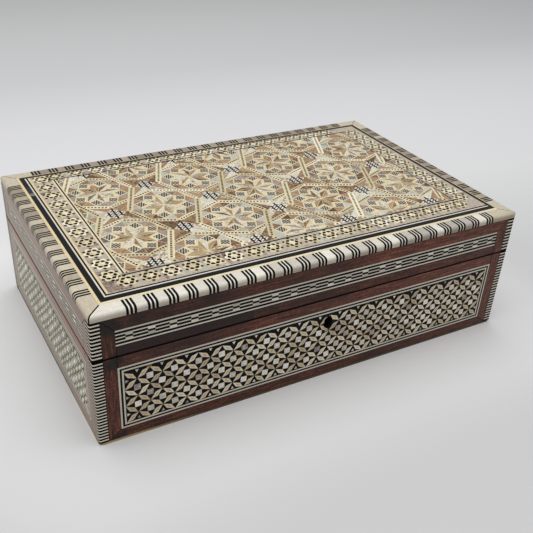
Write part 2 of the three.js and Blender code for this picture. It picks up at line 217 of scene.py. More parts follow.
@dataclass(frozen=True)
class Finish:
    """One material: what it is, its colours from dark to light, its gloss and its figure's real size."""

    name: str
    stops: tuple[str, ...]
    roughness: float
    figure_mm: float
    texture: Texture = Texture.GRAIN
    specular: float = 0.22
    metallic: float = 0.0
    bump: float = 0.15
    tone_share: float = 0.55
    spread: float = 0.56
    sheen: float = 0.0
    fleck: float = 0.0

    def grain_place(self, tree: Tree) -> Socket:
        """Turns the piece's own metres so that the grain runs along the first axis.

        Args:
            tree: the material's node tree.

        Returns:
            The socket that carries the turned place.
        """
        facing = face_value(tree, "facing", "Vector")
        sideways = add_node(tree, "ShaderNodeSeparateXYZ", inputs={"Vector": facing}).outputs["X"]
        sideways = maths(tree, "ABSOLUTE", sideways)
        ahead = []
        for vector in (own_place(tree), facing):
            parts = add_node(tree, "ShaderNodeSeparateXYZ", inputs={"Vector": vector}).outputs
            swapped = add_node(tree, "ShaderNodeCombineXYZ", inputs={
                "X": parts["Y"], "Y": parts["X"], "Z": parts["Z"]}).outputs["Vector"]
            ahead.append(add_node(tree, "ShaderNodeMix", {"data_type": "VECTOR"}, {
                0: sideways, 4: vector, 5: swapped}).outputs[1])
        return add_node(tree, "ShaderNodeVectorRotate", {"rotation_type": "AXIS_ANGLE"}, {
            "Vector": ahead[0], "Axis": ahead[1], "Angle": face_value(tree, "turn")}).outputs["Vector"]

    def grained(self, tree: Tree, size_mm: float, along: float, detail: float, roughness: float,
                distortion: float = 0.0) -> Socket:
        """Builds a pattern from 0 to 1 that is drawn out along the grain.

        Args:
            tree: the material's node tree.
            size_mm: the pattern's real size across the grain.
            along: its scale along the grain, as a share.
            detail: how many finer patterns it holds.
            roughness: how strong they are.
            distortion: how far it is twisted.

        Returns:
            The socket that carries the pattern.
        """
        scale = 1 / (size_mm * MM)
        stretch = add_node(tree, "ShaderNodeMapping", inputs={
            "Vector": self.grain_place(tree), "Scale": (scale * along, scale, scale)}).outputs["Vector"]
        return noise(tree, stretch, 1.0, detail, roughness, distortion)

    def flecked(self, tree: Tree, share: Socket) -> Socket:
        """Breaks the place on the ramp up with fine flecks."""
        fine = noise(tree, own_place(tree), 1 / (FLECK_MM * MM), 3.0, 0.75)
        return maths(tree, "ADD", share, maths(tree, "MULTIPLY_ADD", fine, self.fleck, -self.fleck / 2))

    def aged(self, tree: Tree, colour: Socket) -> Socket:
        """The colour with the finish's signs of age; a plain finish has none."""
        return colour

    def material(self) -> bpy.types.Material:
        """Makes or finds the Blender material of this finish."""
        if self.name in bpy.data.materials:
            return bpy.data.materials[self.name]
        made = bpy.data.materials.new(self.name)
        made.use_nodes = True
        tree = made.node_tree
        tree.nodes.clear()
        figure = self.grained(tree, self.figure_mm, self.texture.value, 5.0, 0.62, 0.4)
        mixed = add_node(tree, "ShaderNodeMix", {"data_type": "FLOAT"}, {
            0: self.tone_share, 2: figure, 3: face_value(tree, "tone")}).outputs[0]
        if self.fleck:
            mixed = self.flecked(tree, mixed)
        ramp = add_node(tree, "ShaderNodeValToRGB", inputs={"Fac": mixed})
        count = len(self.stops) - 1
        first = 0.5 - self.spread / 2
        ramp_stops(ramp, [(first + self.spread * i / count, colour) for i, colour in enumerate(self.stops)])
        colour = self.aged(tree, ramp.outputs["Color"])
        bump = add_node(tree, "ShaderNodeBump", inputs={
            "Height": figure, "Strength": self.bump, "Distance": 0.1 * MM})
        shader = add_node(tree, "ShaderNodeBsdfPrincipled", inputs={
            "Base Color": colour, "Normal": bump.outputs["Normal"],
            "Roughness": self.roughness, "Metallic": self.metallic,
            "Specular IOR Level": self.specular, "Sheen Weight": self.sheen, "Sheen Roughness": 0.25,
            "Sheen Tint": linear(SHEEN_TINT)})
        add_node(tree, "ShaderNodeOutputMaterial", inputs={"Surface": shader.outputs["BSDF"]})
        return made


@dataclass(frozen=True)
class Veneer(Finish):
    """A lacquered veneer with open pores along its grain and dark stains at some places."""

    pore_mm: float = 0.35
    pore_stretch: float = 0.06
    pore_share: float = 0.75
    pore_colour: str = "#1c100d"
    ragged_mm: float = 7.0
    ragged_reach_mm: float = 6.0
    solid_share: float = 0.45
    stain_colour: str = "#1a1514"
    stains: tuple[tuple[float, float, float, float, float], ...] = ()

    def aged(self, tree: Tree, colour: Socket) -> Socket:
        """Darkens the pores, and the stains where hands and damp have blackened the lacquer.

        Args:
            tree: the material's node tree.
            colour: the colour so far.

        Returns:
            The socket that carries the darker colour.
        """
        pores = self.grained(tree, self.pore_mm, self.pore_stretch, 2.0, 0.6)
        open_pores = ranged(tree, pores, (0.55, 0.0), (0.7, self.pore_share))
        colour = blended(tree, open_pores, colour, linear(self.pore_colour))
        place = own_place(tree)
        ragged = noise(tree, place, 1 / (self.ragged_mm * MM), 4.0, 0.7, output="Color")
        reach = self.ragged_reach_mm * MM
        nudge = vectors(tree, "MULTIPLY_ADD", ragged, (2 * reach,) * 3, (-reach,) * 3)
        place = vectors(tree, "ADD", place, nudge)
        for x, y, z, radius, strength in self.stains:
            away = vectors(tree, "DISTANCE", place, (x * MM, y * MM, z * MM))
            share = ranged(tree, away, (radius * self.solid_share * MM, strength), (radius * MM, 0.0))
            colour = blended(tree, share, colour, linear(self.stain_colour))
        return colour


@dataclass(frozen=True)
class EdgeBone(Finish):
    """Bone edging whose turned-down side is painted darker than its top, as the shade on the side that faces
    away from the light.
    """

    side_shade_colour: str = "#a8977a"
    side_top_mm: float = 74.3
    side_low_mm: float = 72.6
    side_shade_share: float = 0.58

    def aged(self, tree: Tree, colour: Socket) -> Socket:
        """Paints shade on the turned-down side."""
        top, low = (self.side_top_mm * MM, 0.0), (self.side_low_mm * MM, self.side_shade_share)
        share = ranged(tree, own_height(tree), top, low)
        return blended(tree, share, colour, linear(self.side_shade_colour), "MULTIPLY")


@dataclass(frozen=True)
class BaseBoard(Finish):
    """Pale board whose thin outer edge under the walls is painted dark as shade, but for the lit front-left
    corner.
    """

    edge_shade_colour: str = "#3f3226"
    edge_top_mm: float = 1.4
    lit_corner_mm: Triple = (-125.0, -80.0, 0.0)
    lit_reach_mm: float = 18.0
    shade_reach_mm: float = 55.0
    shade_share: float = 0.85

    def aged(self, tree: Tree, colour: Socket) -> Socket:
        """Paints shade on the edge under the walls, fading away near the lit front-left corner."""
        low = maths(tree, "LESS_THAN", own_height(tree), self.edge_top_mm * MM)
        away = vectors(tree, "DISTANCE", own_place(tree), tuple(v * MM for v in self.lit_corner_mm))
        painted_shade = ranged(tree, away, (self.lit_reach_mm * MM, 0.0), (self.shade_reach_mm * MM, self.shade_share))
        return blended(tree, maths(tree, "MULTIPLY", low, painted_shade), colour, linear(self.edge_shade_colour))


@dataclass(frozen=True)
class Nacre(Finish):
    """A shell or wood whose colour turns pink, green and brown in patches."""

    hues: tuple[str, ...] = ("#e2b4a4", "#f6e8d0", "#c3d0b4", "#faf5ea", "#c99f85")
    hue_mm: float = 3.2
    hue_from: float = 0.32
    hue_spread: float = 0.36
    hue_share: float = 0.75
    tone_step: Triple = (0.3, 0.2, 0.1)

    def aged(self, tree: Tree, colour: Socket) -> Socket:
        """Tints it in patches, which differ from one piece to the next."""
        apart = vectors(tree, "MULTIPLY_ADD", face_value(tree, "tone"), self.tone_step, own_place(tree))
        patches = noise(tree, apart, 1 / (self.hue_mm * MM), 3.0, 0.65, 1.2)
        ramp = add_node(tree, "ShaderNodeValToRGB", inputs={"Fac": patches})
        last = len(self.hues) - 1
        ramp_stops(ramp, [(self.hue_from + self.hue_spread * i / last, hue)
                          for i, hue in enumerate(self.hues)])
        return blended(tree, self.hue_share, colour, ramp.outputs["Color"], "MULTIPLY")


class Finishes(Enum):
    """Every finish on the box, named for the real material and how it was worked."""

    # Mahogany veneer under old lacquer: red-brown, nearly straight grain, pores filled with dirt
    MAHOGANY = Veneer("mahogany veneer, lacquered", ("#200f0a", "#452318", "#6b3a2a", "#925944"), 0.36, 1.0,
                      spread=0.36, tone_share=0.35, sheen=0.9, fleck=0.4,
                      stains=((-116, -80, 67.5, 7.5, 0.9), (-114, -80, 47.5, 6, 0.9), (-113, -80, 3, 4, 0.8),
                              (-80, -80, 70, 50, 0.68), (-103, -80, 69, 5, 0.5), (-66, -80, 70, 5, 0.5),
                              (-8, -80, 71, 40, 0.5), (40, -80, 1, 30, 0.3)))
    # A lighter, warmer strip of it beside the seam: a painted highlight where the rounded arris catches the
    # light
    ARRIS_HIGHLIGHT = Finish("mahogany, painted arris highlight", ("#6d3a2c", "#8c5140", "#a56a57"), 0.5, 0.8, sheen=0.25,
                        fleck=0.4)
    # The same veneer where polish and dirt have darkened it to purple-black
    DARK_VENEER = Veneer("mahogany veneer, darkened", ("#1d1210", "#2f1d1c", "#432a29"), 0.34, 1.1, fleck=0.5)
    # Ebony or black-stained wood: near black with a faint brown figure
    EBONY = Finish("ebony, scraped flat", ("#050404", "#0b0a09", "#191512"), 0.4, 0.5, specular=0.08,
                   sheen=0.5, fleck=0.8)
    # The same laid flush in the top, where the polish keeps it deep black
    EBONY_INLAY = Finish("ebony, polished flush", ("#030202", "#080605", "#130e0b"), 0.35, 0.5, specular=0.08,
                         fleck=0.4)
    # The wide black band of the top: slightly grey with polish
    EBONY_POLISHED = Finish("ebony, polished band", ("#070707", "#0d0d0e", "#161618"), 0.3, 0.9,
                            specular=0.16, fleck=0.6)
    # The stretch of the band next to its old repair: rubbed grey
    EBONY_WORN = Finish("ebony, rubbed grey", ("#17181b", "#26272b", "#3a3b40"), 0.45, 0.9, fleck=0.6)
    # Lemonwood stringing: pale yellow, almost without figure
    LEMONWOOD = Finish("lemonwood stringing", ("#c9ae7e", "#e0cb9f", "#eee0bd"), 0.38, 0.5, fleck=0.6)
    # Holly of the dotted bands and the small squares' edges: paler and less yellow
    HOLLY = Finish("holly, ivory with age", ("#cab993", "#e4d6b0", "#f6eccf"), 0.36, 0.5, fleck=0.7)
    # Bone-coloured lines on the sides: grey-cream
    BOXWOOD = Finish("boxwood stringing", ("#b2aa9b", "#cdc5b5", "#e6dfd0"), 0.38, 0.5, sheen=0.5, fleck=0.4)
    # Apricot wood lozenges: tan with a slight pink figure
    APRICOT = Finish("apricot wood, sawn", ("#bba98d", "#d6c6a8", "#ece0c8"), 0.4, 0.45, sheen=0.6, fleck=0.6)
    # The same on the narrow left side, painted paler and greyer as the milky reflection that side shows
    APRICOT_PAINTED_SHEEN = Finish("apricot wood, painted sheen", ("#a3a28c", "#c0bfa8", "#dcdbc4"), 0.4, 0.45, sheen=0.8,
                          fleck=0.9)
    # The faint darker heart of each lozenge
    APRICOT_HEART = Finish("apricot wood, heart", ("#a38c6c", "#bda888", "#d3c1a3"), 0.4, 0.45, sheen=0.6,
                           fleck=0.8)
    # Bone squares and blocks: from grey to white, with short streaks
    BONE = Finish("camel bone, polished", ("#7b7169", "#b0a79b", "#d3ccbe", "#f2ecdf"), 0.3, 0.6,
                  Texture.BONE, tone_share=0.62, sheen=0.6, fleck=0.9)
    # Thin bone and ebony slips of the corners, scraped but never polished
    BONE_SLIP = Finish("camel bone, scraped", ("#bdb4a6", "#d8d0c1", "#ece6d8"), 0.5, 0.5, Texture.BONE,
                       specular=0.1, sheen=0.3)
    EBONY_SLIP = Finish("ebony, scraped dull", ("#020202", "#050504", "#0b0a09"), 0.55, 0.5, specular=0.04)
    # Bone edging along the front, bleached nearly white, some blocks greyer
    BONE_WHITE = EdgeBone("camel bone, bleached", ("#b5aea3", "#cfc8bb", "#e2dccf", "#f6f2e4"), 0.3, 1.0,
                          Texture.BONE, specular=0.35, tone_share=0.66, spread=0.66, fleck=0.5)
    # Bone edging on the other sides, yellowed
    BONE_TAN = EdgeBone("camel bone, yellowed", ("#8c7c6d", "#aa9c87", "#c6bba4", "#dad0ba"), 0.32, 1.0,
                        Texture.BONE, specular=0.35, tone_share=0.66, spread=0.66, fleck=0.5)
    # Mother-of-pearl: milky white with streaks, in patches pink, green and brown where its layers run out
    PEARL = Nacre("mother-of-pearl, ground flat", ("#86735f", "#c4b39b", "#eee6d6", "#ffffff", "#d6cdbd"),
                  0.16, 1.5, Texture.PEARL, specular=0.6, tone_share=0.34, spread=0.5, fleck=1.2)
    # Greyer shell in the kites
    SHELL_GREY = Nacre("shell, mauve-grey", ("#9a9089", "#bdb7b1", "#dedcd8", "#c4cbcc"), 0.24, 1.5,
                       Texture.PEARL, specular=0.35, fleck=0.9)
    # Rosewood pieces: warm pink-brown
    ROSEWOOD = Nacre("rosewood, sawn", ("#563d2d", "#8b6b53", "#bd9c7b", "#a08064"), 0.38, 0.6, spread=0.62,
                     fleck=1.7, hue_share=0.35)
    # Walnut pieces with a mauve cast
    MAUVE = Nacre("walnut, mauve-grey", ("#6b5b54", "#95847b", "#bcaca2", "#9b8a82"), 0.38, 0.6, spread=0.62,
                  fleck=1.5, hue_share=0.45)
    # Olive wood pieces: gold-tan
    OLIVE = Nacre("olive wood, sawn", ("#685039", "#96795a", "#c5aa84", "#ab8e6b"), 0.38, 0.6, spread=0.62,
                  fleck=1.7, hue_share=0.4)
    # Ground of the rosette border: brownish mauve with a pearly cast
    BORDER_GROUND = Nacre("walnut ground, pearly", ("#9a8d82", "#c3b7ab", "#ded4c7"), 0.34, 0.9, fleck=0.9,
                          hue_share=0.45)
    # Old glue and filler in the joints: dark brown; on the keyhole's inner faces the same colour is painted
    # shade
    GLUE_AND_KEYHOLE_SHADE = Finish("glue line and keyhole shade, dark", ("#0d0907", "#140f0b", "#1e1712"), 0.7, 0.5, Texture.DENSE,
                  specular=0.05)
    # Grey filler of an old repair in the black band
    FILLER = Finish("filler, grey", ("#5d5c58", "#77766f", "#8c8a82"), 0.6, 0.8, Texture.DENSE, specular=0.1)
    # Lozenge mosaic ground where the glue has bled brown
    STAIN = Finish("walnut, stained", ("#3a2617", "#5a3d29", "#735337"), 0.4, 0.5)
    # Plain pale board of the bottom, with painted shade on its edge under the walls
    BASSWOOD = BaseBoard("basswood board, plain", ("#a8946c", "#c3ae84", "#d4c49c"), 0.6, 0.9)
    # Brass of the hinges and the catch, worn satin
    BRASS = Finish("brass, worn satin", ("#8c6c38", "#b08d4e", "#caa865"), 0.34, 0.4, Texture.DENSE, 0.5, 1.0)
    # Brass of the lock behind its hole, painted near black as the shade inside the keyhole
    BRASS_KEYHOLE_SHADE = Finish("brass, painted keyhole shade", ("#0b0907", "#15110d", "#241d16"), 0.5, 0.4, Texture.DENSE,
                         0.3, 0.4)

    def material(self) -> bpy.types.Material:
        """The finish's Blender material."""
        return self.value.material()


@dataclass
class Tile:
    """One flat inlaid piece, in millimetres on its sheet, with its finish, layer, tone and grain turn."""

    outline: Outline
    finish: Finishes
    level: int = 0
    tone: float = 0.5
    turn: float = 0.0


@dataclass(frozen=True)
class Place:
    """Where a sheet lies: its corner, and its two directions along the surface."""

    corner: Vector
    along: Vector
    up: Vector

    @property
    def facing(self) -> Vector:
        """The direction out of the surface."""
        return self.along.cross(self.up)

    def point(self, across: float, height: float, out: float) -> Vector:
        """Turns sheet millimetres into a point in metres."""
        return (self.corner + self.along * across + self.up * height + self.facing * out) * MM


def signed_area(outline: Outline) -> float:
    """The area inside an outline, positive where it runs anticlockwise."""
    pairs = zip(outline, outline[1:] + outline[:1])
    return sum(a[0] * b[1] - b[0] * a[1] for a, b in pairs) / 2


def rectangle(x0: float, x1: float, y0: float, y1: float) -> Outline:
    """The outline of an upright rectangle."""
    return [(x0, y0), (x1, y0), (x1, y1), (x0, y1)]


def polar(radius: float, degrees: float) -> Point:
    """A point at a radius and an angle from the motif's middle."""
    return radius * math.cos(math.radians(degrees)), radius * math.sin(math.radians(degrees))


def moved(outline: Outline, by: Point, turned: float = 0.0) -> Outline:
    """An outline turned by degrees about its own origin, then moved."""
    cos, sin = math.cos(math.radians(turned)), math.sin(math.radians(turned))
    return [(x * cos - y * sin + by[0], x * sin + y * cos + by[1]) for x, y in outline]


def cut_by_line(outline: Outline, normal: Point, offset: float) -> Outline:
    """Keeps the part of an outline where the point's share along normal is no more than offset."""
    kept: Outline = []
    for a, b in zip(outline, outline[1:] + outline[:1]):
        side_a = a[0] * normal[0] + a[1] * normal[1] - offset
        side_b = b[0] * normal[0] + b[1] * normal[1] - offset
        if side_a <= 0:
            kept.append(a)
        if (side_a < 0 < side_b) or (side_b < 0 < side_a):
            share = side_a / (side_a - side_b)
            kept.append((a[0] + (b[0] - a[0]) * share, a[1] + (b[1] - a[1]) * share))
    return kept


def clipped(outline: Outline, x0: float, x1: float, y0: float, y1: float) -> Outline:
    """Cuts an outline to an upright rectangle."""
    for normal, offset in (((1, 0), x1), ((-1, 0), -x0), ((0, 1), y1), ((0, -1), -y0)):
        outline = cut_by_line(outline, normal, offset)
        if len(outline) < 3:
            return []
    return outline


def without(outline: Outline, hole: Outline) -> list[Outline]:
    """Takes a convex hole out of an outline.

    Args:
        outline: the piece.
        hole: a convex outline, anticlockwise.

    Returns:
        The parts that are left, each without the hole.
    """
    rest = outline
    parts = []
    for a, b in zip(hole, hole[1:] + hole[:1]):
        normal = (b[1] - a[1], a[0] - b[0])
        offset = a[0] * normal[0] + a[1] * normal[1]
        outside = cut_by_line(rest, (-normal[0], -normal[1]), -offset)
        if len(outside) >= 3 and abs(signed_area(outside)) > LEAST_PART:
            parts.append(outside)
        rest = cut_by_line(rest, normal, offset)
        if len(rest) < 3:
            return parts
    return parts


def lattice_tree() -> Tree:
    """Builds the Geometry Nodes tree that repeats a motif over a lattice.

    Returns:
        A tree whose named inputs set the counts, the steps, the start, which places are used, the seed
        and size of the hand-laid wander, and the material.
    """
    if "motif lattice" in bpy.data.node_groups:
        return bpy.data.node_groups["motif lattice"]
    tree = bpy.data.node_groups.new("motif lattice", "GeometryNodeTree")
    sockets = (("Geometry", "Geometry"), ("Columns", "Int"), ("Rows", "Int"), ("Column Step", "Vector"),
               ("Row Step", "Vector"), ("Start", "Vector"), ("Parity", "Float"), ("Wander", "Vector"),
               ("Seed", "Int"), ("Material", "Material"))
    for name, kind in sockets:
        tree.interface.new_socket(name=name, in_out="INPUT", socket_type=f"NodeSocket{kind}")
    tree.interface.new_socket(name="Geometry", in_out="OUTPUT", socket_type="NodeSocketGeometry")
    given = add_node(tree, "NodeGroupInput").outputs

    def scaled(vector: Socket, by: object) -> Socket:
        """A vector made longer or shorter."""
        made = add_node(tree, "ShaderNodeVectorMath", {"operation": "SCALE"}, {0: vector, "Scale": by})
        return made.outputs[0]

    count = maths(tree, "MULTIPLY", given["Columns"], given["Rows"])
    index = add_node(tree, "GeometryNodeInputIndex").outputs[0]
    column = maths(tree, "FLOORED_MODULO", index, given["Columns"])
    row = maths(tree, "FLOOR", maths(tree, "DIVIDE", maths(tree, "ADD", index, 0.001), given["Columns"]))
    along = vectors(tree, "ADD", scaled(given["Column Step"], column), scaled(given["Row Step"], row))
    wander = add_node(tree, "FunctionNodeRandomValue", {"data_type": "FLOAT_VECTOR"}, {
        0: scaled(given["Wander"], -1.0), 1: given["Wander"], "Seed": given["Seed"]}).outputs[0]
    place = vectors(tree, "ADD", along, vectors(tree, "ADD", given["Start"], wander))
    points = add_node(tree, "GeometryNodePoints", inputs={"Count": count, "Position": place})
    parity = maths(tree, "FLOORED_MODULO", maths(tree, "ADD", column, row), 2.0)
    apart = maths(tree, "ABSOLUTE", maths(tree, "SUBTRACT", parity, given["Parity"]))
    laid = add_node(tree, "GeometryNodeInstanceOnPoints", inputs={
        "Points": points.outputs[0], "Selection": maths(tree, "LESS_THAN", apart, 0.6),
        "Instance": given["Geometry"]})
    real = add_node(tree, "GeometryNodeRealizeInstances", inputs={"Geometry": laid.outputs[0]})
    dressed = add_node(tree, "GeometryNodeSetMaterial", inputs={
        "Geometry": real.outputs[0], "Material": given["Material"]})
    add_node(tree, "NodeGroupOutput", inputs={"Geometry": dressed.outputs[0]})
    return tree


@dataclass
class Lattice:
    """How a motif repeats: counts, steps, start, which places are used and how far pieces wander.

    A parity of 0 or 1 uses every other place, and 0.5 uses them all.
    """

    columns: int
    rows: int
    column_step: Triple
    row_step: Triple
    start: Triple
    parity: float = 0.5
    wander: Triple = (0.0, 0.0, 0.0)

    def repeated(self, mesh: bpy.types.Mesh, finish: Finishes) -> bpy.types.Mesh:
        """Repeats a mesh over the lattice.

        Args:
            mesh: the motif, used up by this call.
            finish: the finish that the copies get.

        Returns:
            One plain mesh with every copy.
        """
        holder = linked("motif", mesh)
        modifier = holder.modifiers.new("lattice", "NODES")
        modifier.node_group = lattice_tree()
        values = {"Columns": self.columns, "Rows": self.rows, "Column Step": self.column_step,
                  "Row Step": self.row_step, "Start": self.start, "Parity": self.parity,
                  "Wander": self.wander, "Seed": SEED, "Material": finish.material()}
        for item in modifier.node_group.interface.items_tree:
            if item.in_out == "INPUT" and item.name in values:
                modifier[item.identifier] = values[item.name]
        holder.update_tag()
        graph = bpy.context.evaluated_depsgraph_get()
        graph.update()
        result = bpy.data.meshes.new_from_object(holder.evaluated_get(graph))
        holder.modifiers.remove(modifier)
        bpy.data.objects.remove(holder)
        bpy.data.meshes.remove(mesh)
        return result


def lay_out(motif: list[Tile], lattice: Lattice, rng: random.Random) -> list[Tile]:
    """Repeats a flat motif over a lattice and gives each copy its own tone.

    Args:
        motif: the tiles of one motif, about its middle.
        lattice: where the copies go.
        rng: the seeded source of the tones.

    Returns:
        Every copy's tiles.
    """
    groups: dict[tuple, list[Tile]] = {}
    for tile in motif:
        groups.setdefault((tile.finish, tile.level, round(tile.turn, 3)), []).append(tile)
    laid = []
    for (finish, level, turn), tiles in groups.items():
        mesh = bpy.data.meshes.new("motif")
        corners: list[Triple] = []
        faces = []
        for tile in tiles:
            first = len(corners)
            corners += [(x, y, 0.0) for x, y in tile.outline]
            faces.append(list(range(first, len(corners))))
        mesh.from_pydata(corners, [], faces)
        copies = lattice.repeated(mesh, finish)
        for polygon in copies.polygons:
            outline = [tuple(copies.vertices[v].co[:2]) for v in polygon.vertices]
            laid.append(Tile(outline, finish, level, rng.random(), turn))
        bpy.data.meshes.remove(copies)
    return laid


@dataclass
class Builder:
    """Gathers closed forms into one mesh, each with its finish, tone and grain."""

    name: str
    points: list[Vector] = field(default_factory=list)
    faces: list[list[int]] = field(default_factory=list)
    face_finish: list[Finishes] = field(default_factory=list)
    face_tone: list[float] = field(default_factory=list)
    face_turn: list[float] = field(default_factory=list)
    face_facing: list[Vector] = field(default_factory=list)

    def add(self, points: list[Vector], faces: list[list[int]], finish: Finishes, tone: float = 0.5,
            turn: float = 0.0, facing: Vector = Vector((0, 0, 1))) -> None:
        """Adds a form.

        Args:
            points: its corners, in metres.
            faces: its faces, by corner number.
            finish: its finish.
            tone: from 0, dark, to 1, light.
            turn: how far its grain is turned about facing, in radians.
            facing: the direction its shown side faces.
        """
        first = len(self.points)
        self.points += points
        for face in faces:
            self.faces.append([first + corner for corner in face])
            self.face_finish.append(finish)
            self.face_tone.append(tone)
            self.face_turn.append(turn)
            self.face_facing.append(facing)

    def add_tile(self, tile: Tile, place: Place, depth: float, joint: float,
                 dark_edges: bool = False) -> None:
        """Adds a flat inlaid piece as a closed plate.

        Args:
            tile: the piece.
            place: where its sheet lies.
            depth: how far down it reaches below the surface, in millimetres.
            joint: how far its top lies below the surface at level 0, in millimetres.
            dark_edges: whether its upright edges carry dark glue instead of its own finish.
        """
        outline = [p for p, q in zip(tile.outline, tile.outline[1:] + tile.outline[:1])
                   if abs(p[0] - q[0]) + abs(p[1] - q[1]) > SAME_CORNER]
        area = signed_area(outline) if len(outline) >= 3 else 0.0
        if abs(area) < LEAST_AREA:
            return
        if area < 0:
            outline = outline[::-1]
        count = len(outline)
        top = -joint + LAYER * tile.level
        points = [place.point(x, y, top) for x, y in outline]
        points += [place.point(x, y, -depth) for x, y in outline]
        faces = [list(range(count)), list(range(2 * count - 1, count - 1, -1))]
        for i in range(count):
            j = (i + 1) % count
            faces.append([j, i, i + count, j + count])
        self.add(points, faces, tile.finish, tile.tone, tile.turn, place.facing)
        if dark_edges:
            self.face_finish[-count:] = [Finishes.GLUE_AND_KEYHOLE_SHADE] * count

    def add_mesh(self, mesh: bpy.types.Mesh, finish: Finishes, tone: float = 0.5, turn: float = 0.0,
                 facing: Vector = Vector((0, 0, 1))) -> None:
        """Adds a ready mesh, whose points are in metres."""
        points = [vertex.co.copy() for vertex in mesh.vertices]
        self.add(points, [list(polygon.vertices) for polygon in mesh.polygons], finish, tone, turn, facing)

    def made(self, smooth_degrees: float = 0.0) -> bpy.types.Object:
        """Makes the Blender object at the origin, with its finishes and attributes."""
        mesh = bpy.data.meshes.new(self.name)
        mesh.from_pydata(self.points, [], self.faces)
        used = list(dict.fromkeys(self.face_finish))
        for finish in used:
            mesh.materials.append(finish.material())
        mesh.polygons.foreach_set("material_index", [used.index(finish) for finish in self.face_finish])
        mesh.attributes.new("tone", "FLOAT", "FACE").data.foreach_set("value", self.face_tone)
        mesh.attributes.new("turn", "FLOAT", "FACE").data.foreach_set("value", self.face_turn)
        facing = mesh.attributes.new("facing", "FLOAT_VECTOR", "FACE")
        facing.data.foreach_set("vector", [share for vector in self.face_facing for share in vector])
        if smooth_degrees:
            mesh.polygons.foreach_set("use_smooth", [True] * len(mesh.polygons))
            mesh.set_sharp_from_angle(angle=math.radians(smooth_degrees))
        mesh.update()
        return linked(self.name, mesh)


def node_box(node: str) -> tuple[Vector, Vector]:
    """A CAD node's lowest and highest corners, in millimetres."""
    low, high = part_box(node)
    return Vector(low) / MM, Vector(high) / MM


BASE_LOW, BASE_HIGH = node_box("base_board")
LENGTH = BASE_HIGH.x - BASE_LOW.x
DEPTH = BASE_HIGH.y - BASE_LOW.y
HEIGHT = node_box("top_field")[1].z
CORNER_STRIP = node_box("body_corner_1")[1].x - node_box("body_corner_1")[0].x
X_AXIS = Vector((1, 0, 0))
Y_AXIS = Vector((0, 1, 0))
Z_AXIS = Vector((0, 0, 1))


class Side(Enum):
    """The four upright sides: the corner their sheets start from and the way they run."""

    FRONT = Place(Vector((-LENGTH / 2, -DEPTH / 2, 0)), X_AXIS, Z_AXIS)
    BACK = Place(Vector((LENGTH / 2, DEPTH / 2, 0)), -X_AXIS, Z_AXIS)
    LEFT = Place(Vector((-LENGTH / 2, DEPTH / 2, 0)), -Y_AXIS, Z_AXIS)
    RIGHT = Place(Vector((LENGTH / 2, -DEPTH / 2, 0)), Y_AXIS, Z_AXIS)

    @property
    def word(self) -> str:
        """The side's name inside node names."""
        return self.name.lower()

    @property
    def span(self) -> float:
        """The side's length."""
        return LENGTH if self in (Side.FRONT, Side.BACK) else DEPTH

    def rect(self, node: str) -> Rect:
        """The rectangle on the side of a node that lies in its middle."""
        low, high = node_box(node)
        margin = (self.span - (high - low).dot(Vector([abs(v) for v in self.value.along]))) / 2
        return margin, self.span - margin, low.z, high.z


TOP = Place(Vector((-LENGTH / 2, -DEPTH / 2, HEIGHT)), X_AXIS, Y_AXIS)

# The keyhole lies this far under the lock's top. It has a middle on the front, half a width and half a
# height, and the share of them that its worn edge has at each corner. The wall's faces within its reach
# are its inside, and are painted in the dark glue colour as the shade inside the hole
LOCK_LOW, LOCK_HIGH = node_box("lock_case")
KEYHOLE_DROP = 15.0
KEYHOLE_MIDDLE = ((LOCK_LOW.x + LOCK_HIGH.x) / 2 + LENGTH / 2, LOCK_HIGH.z - KEYHOLE_DROP)
KEYHOLE_HALF = (2.6, 4.1)
KEYHOLE_REACH = 6.5
KEYHOLE_SHARES = (0.97, 1.04, 0.93, 1.02, 0.95, 1.03, 0.98, 1.05, 0.92, 1.0, 0.94, 1.03)


def top_rect(low: Vector, high: Vector) -> Rect:
    """The rectangle on the top between two corners."""
    return low.x + LENGTH / 2, high.x + LENGTH / 2, low.y + DEPTH / 2, high.y + DEPTH / 2


def node_name(body: str, rest: str) -> str:
    """The name of a node of the box's body or of its lid."""
    return ("body_" if body == "box" else "lid_") + rest


def register(piece: bpy.types.Object, body: str, slot: str, *nodes: str) -> None:
    """Gives a finished piece its body and hides the nodes it stands for."""
    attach(piece, body)
    if nodes:
        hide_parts(*nodes)
    LOG.info("%s: %d faces on %s", piece.name, len(piece.data.polygons), body)


def merged_copy(node: str) -> bmesh.types.BMesh:
    """A copy of a CAD node's mesh with its loose triangles joined, in metres."""
    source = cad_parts[node]
    copy = bmesh.new()
    copy.from_mesh(source.data)
    copy.transform(source.matrix_world)
    bmesh.ops.remove_doubles(copy, verts=copy.verts, dist=SAME_PLACE)
    bmesh.ops.dissolve_limit(copy, angle_limit=0.001, verts=copy.verts, edges=copy.edges)
    return copy


def mitred(outer: Rect, inner: Rect) -> tuple[Outline, ...]:
    """The four mitred strips between two rectangles: lower, upper, left and right."""
    a0, a1, c0, c1 = outer
    b0, b1, d0, d1 = inner
    return ([(a0, c0), (a1, c0), (b1, d0), (b0, d0)], [(b0, d1), (b1, d1), (a1, c1), (a0, c1)],
            [(a0, c0), (b0, d0), (b0, d1), (a0, c1)], [(b1, d0), (a1, c0), (a1, c1), (b1, d1)])


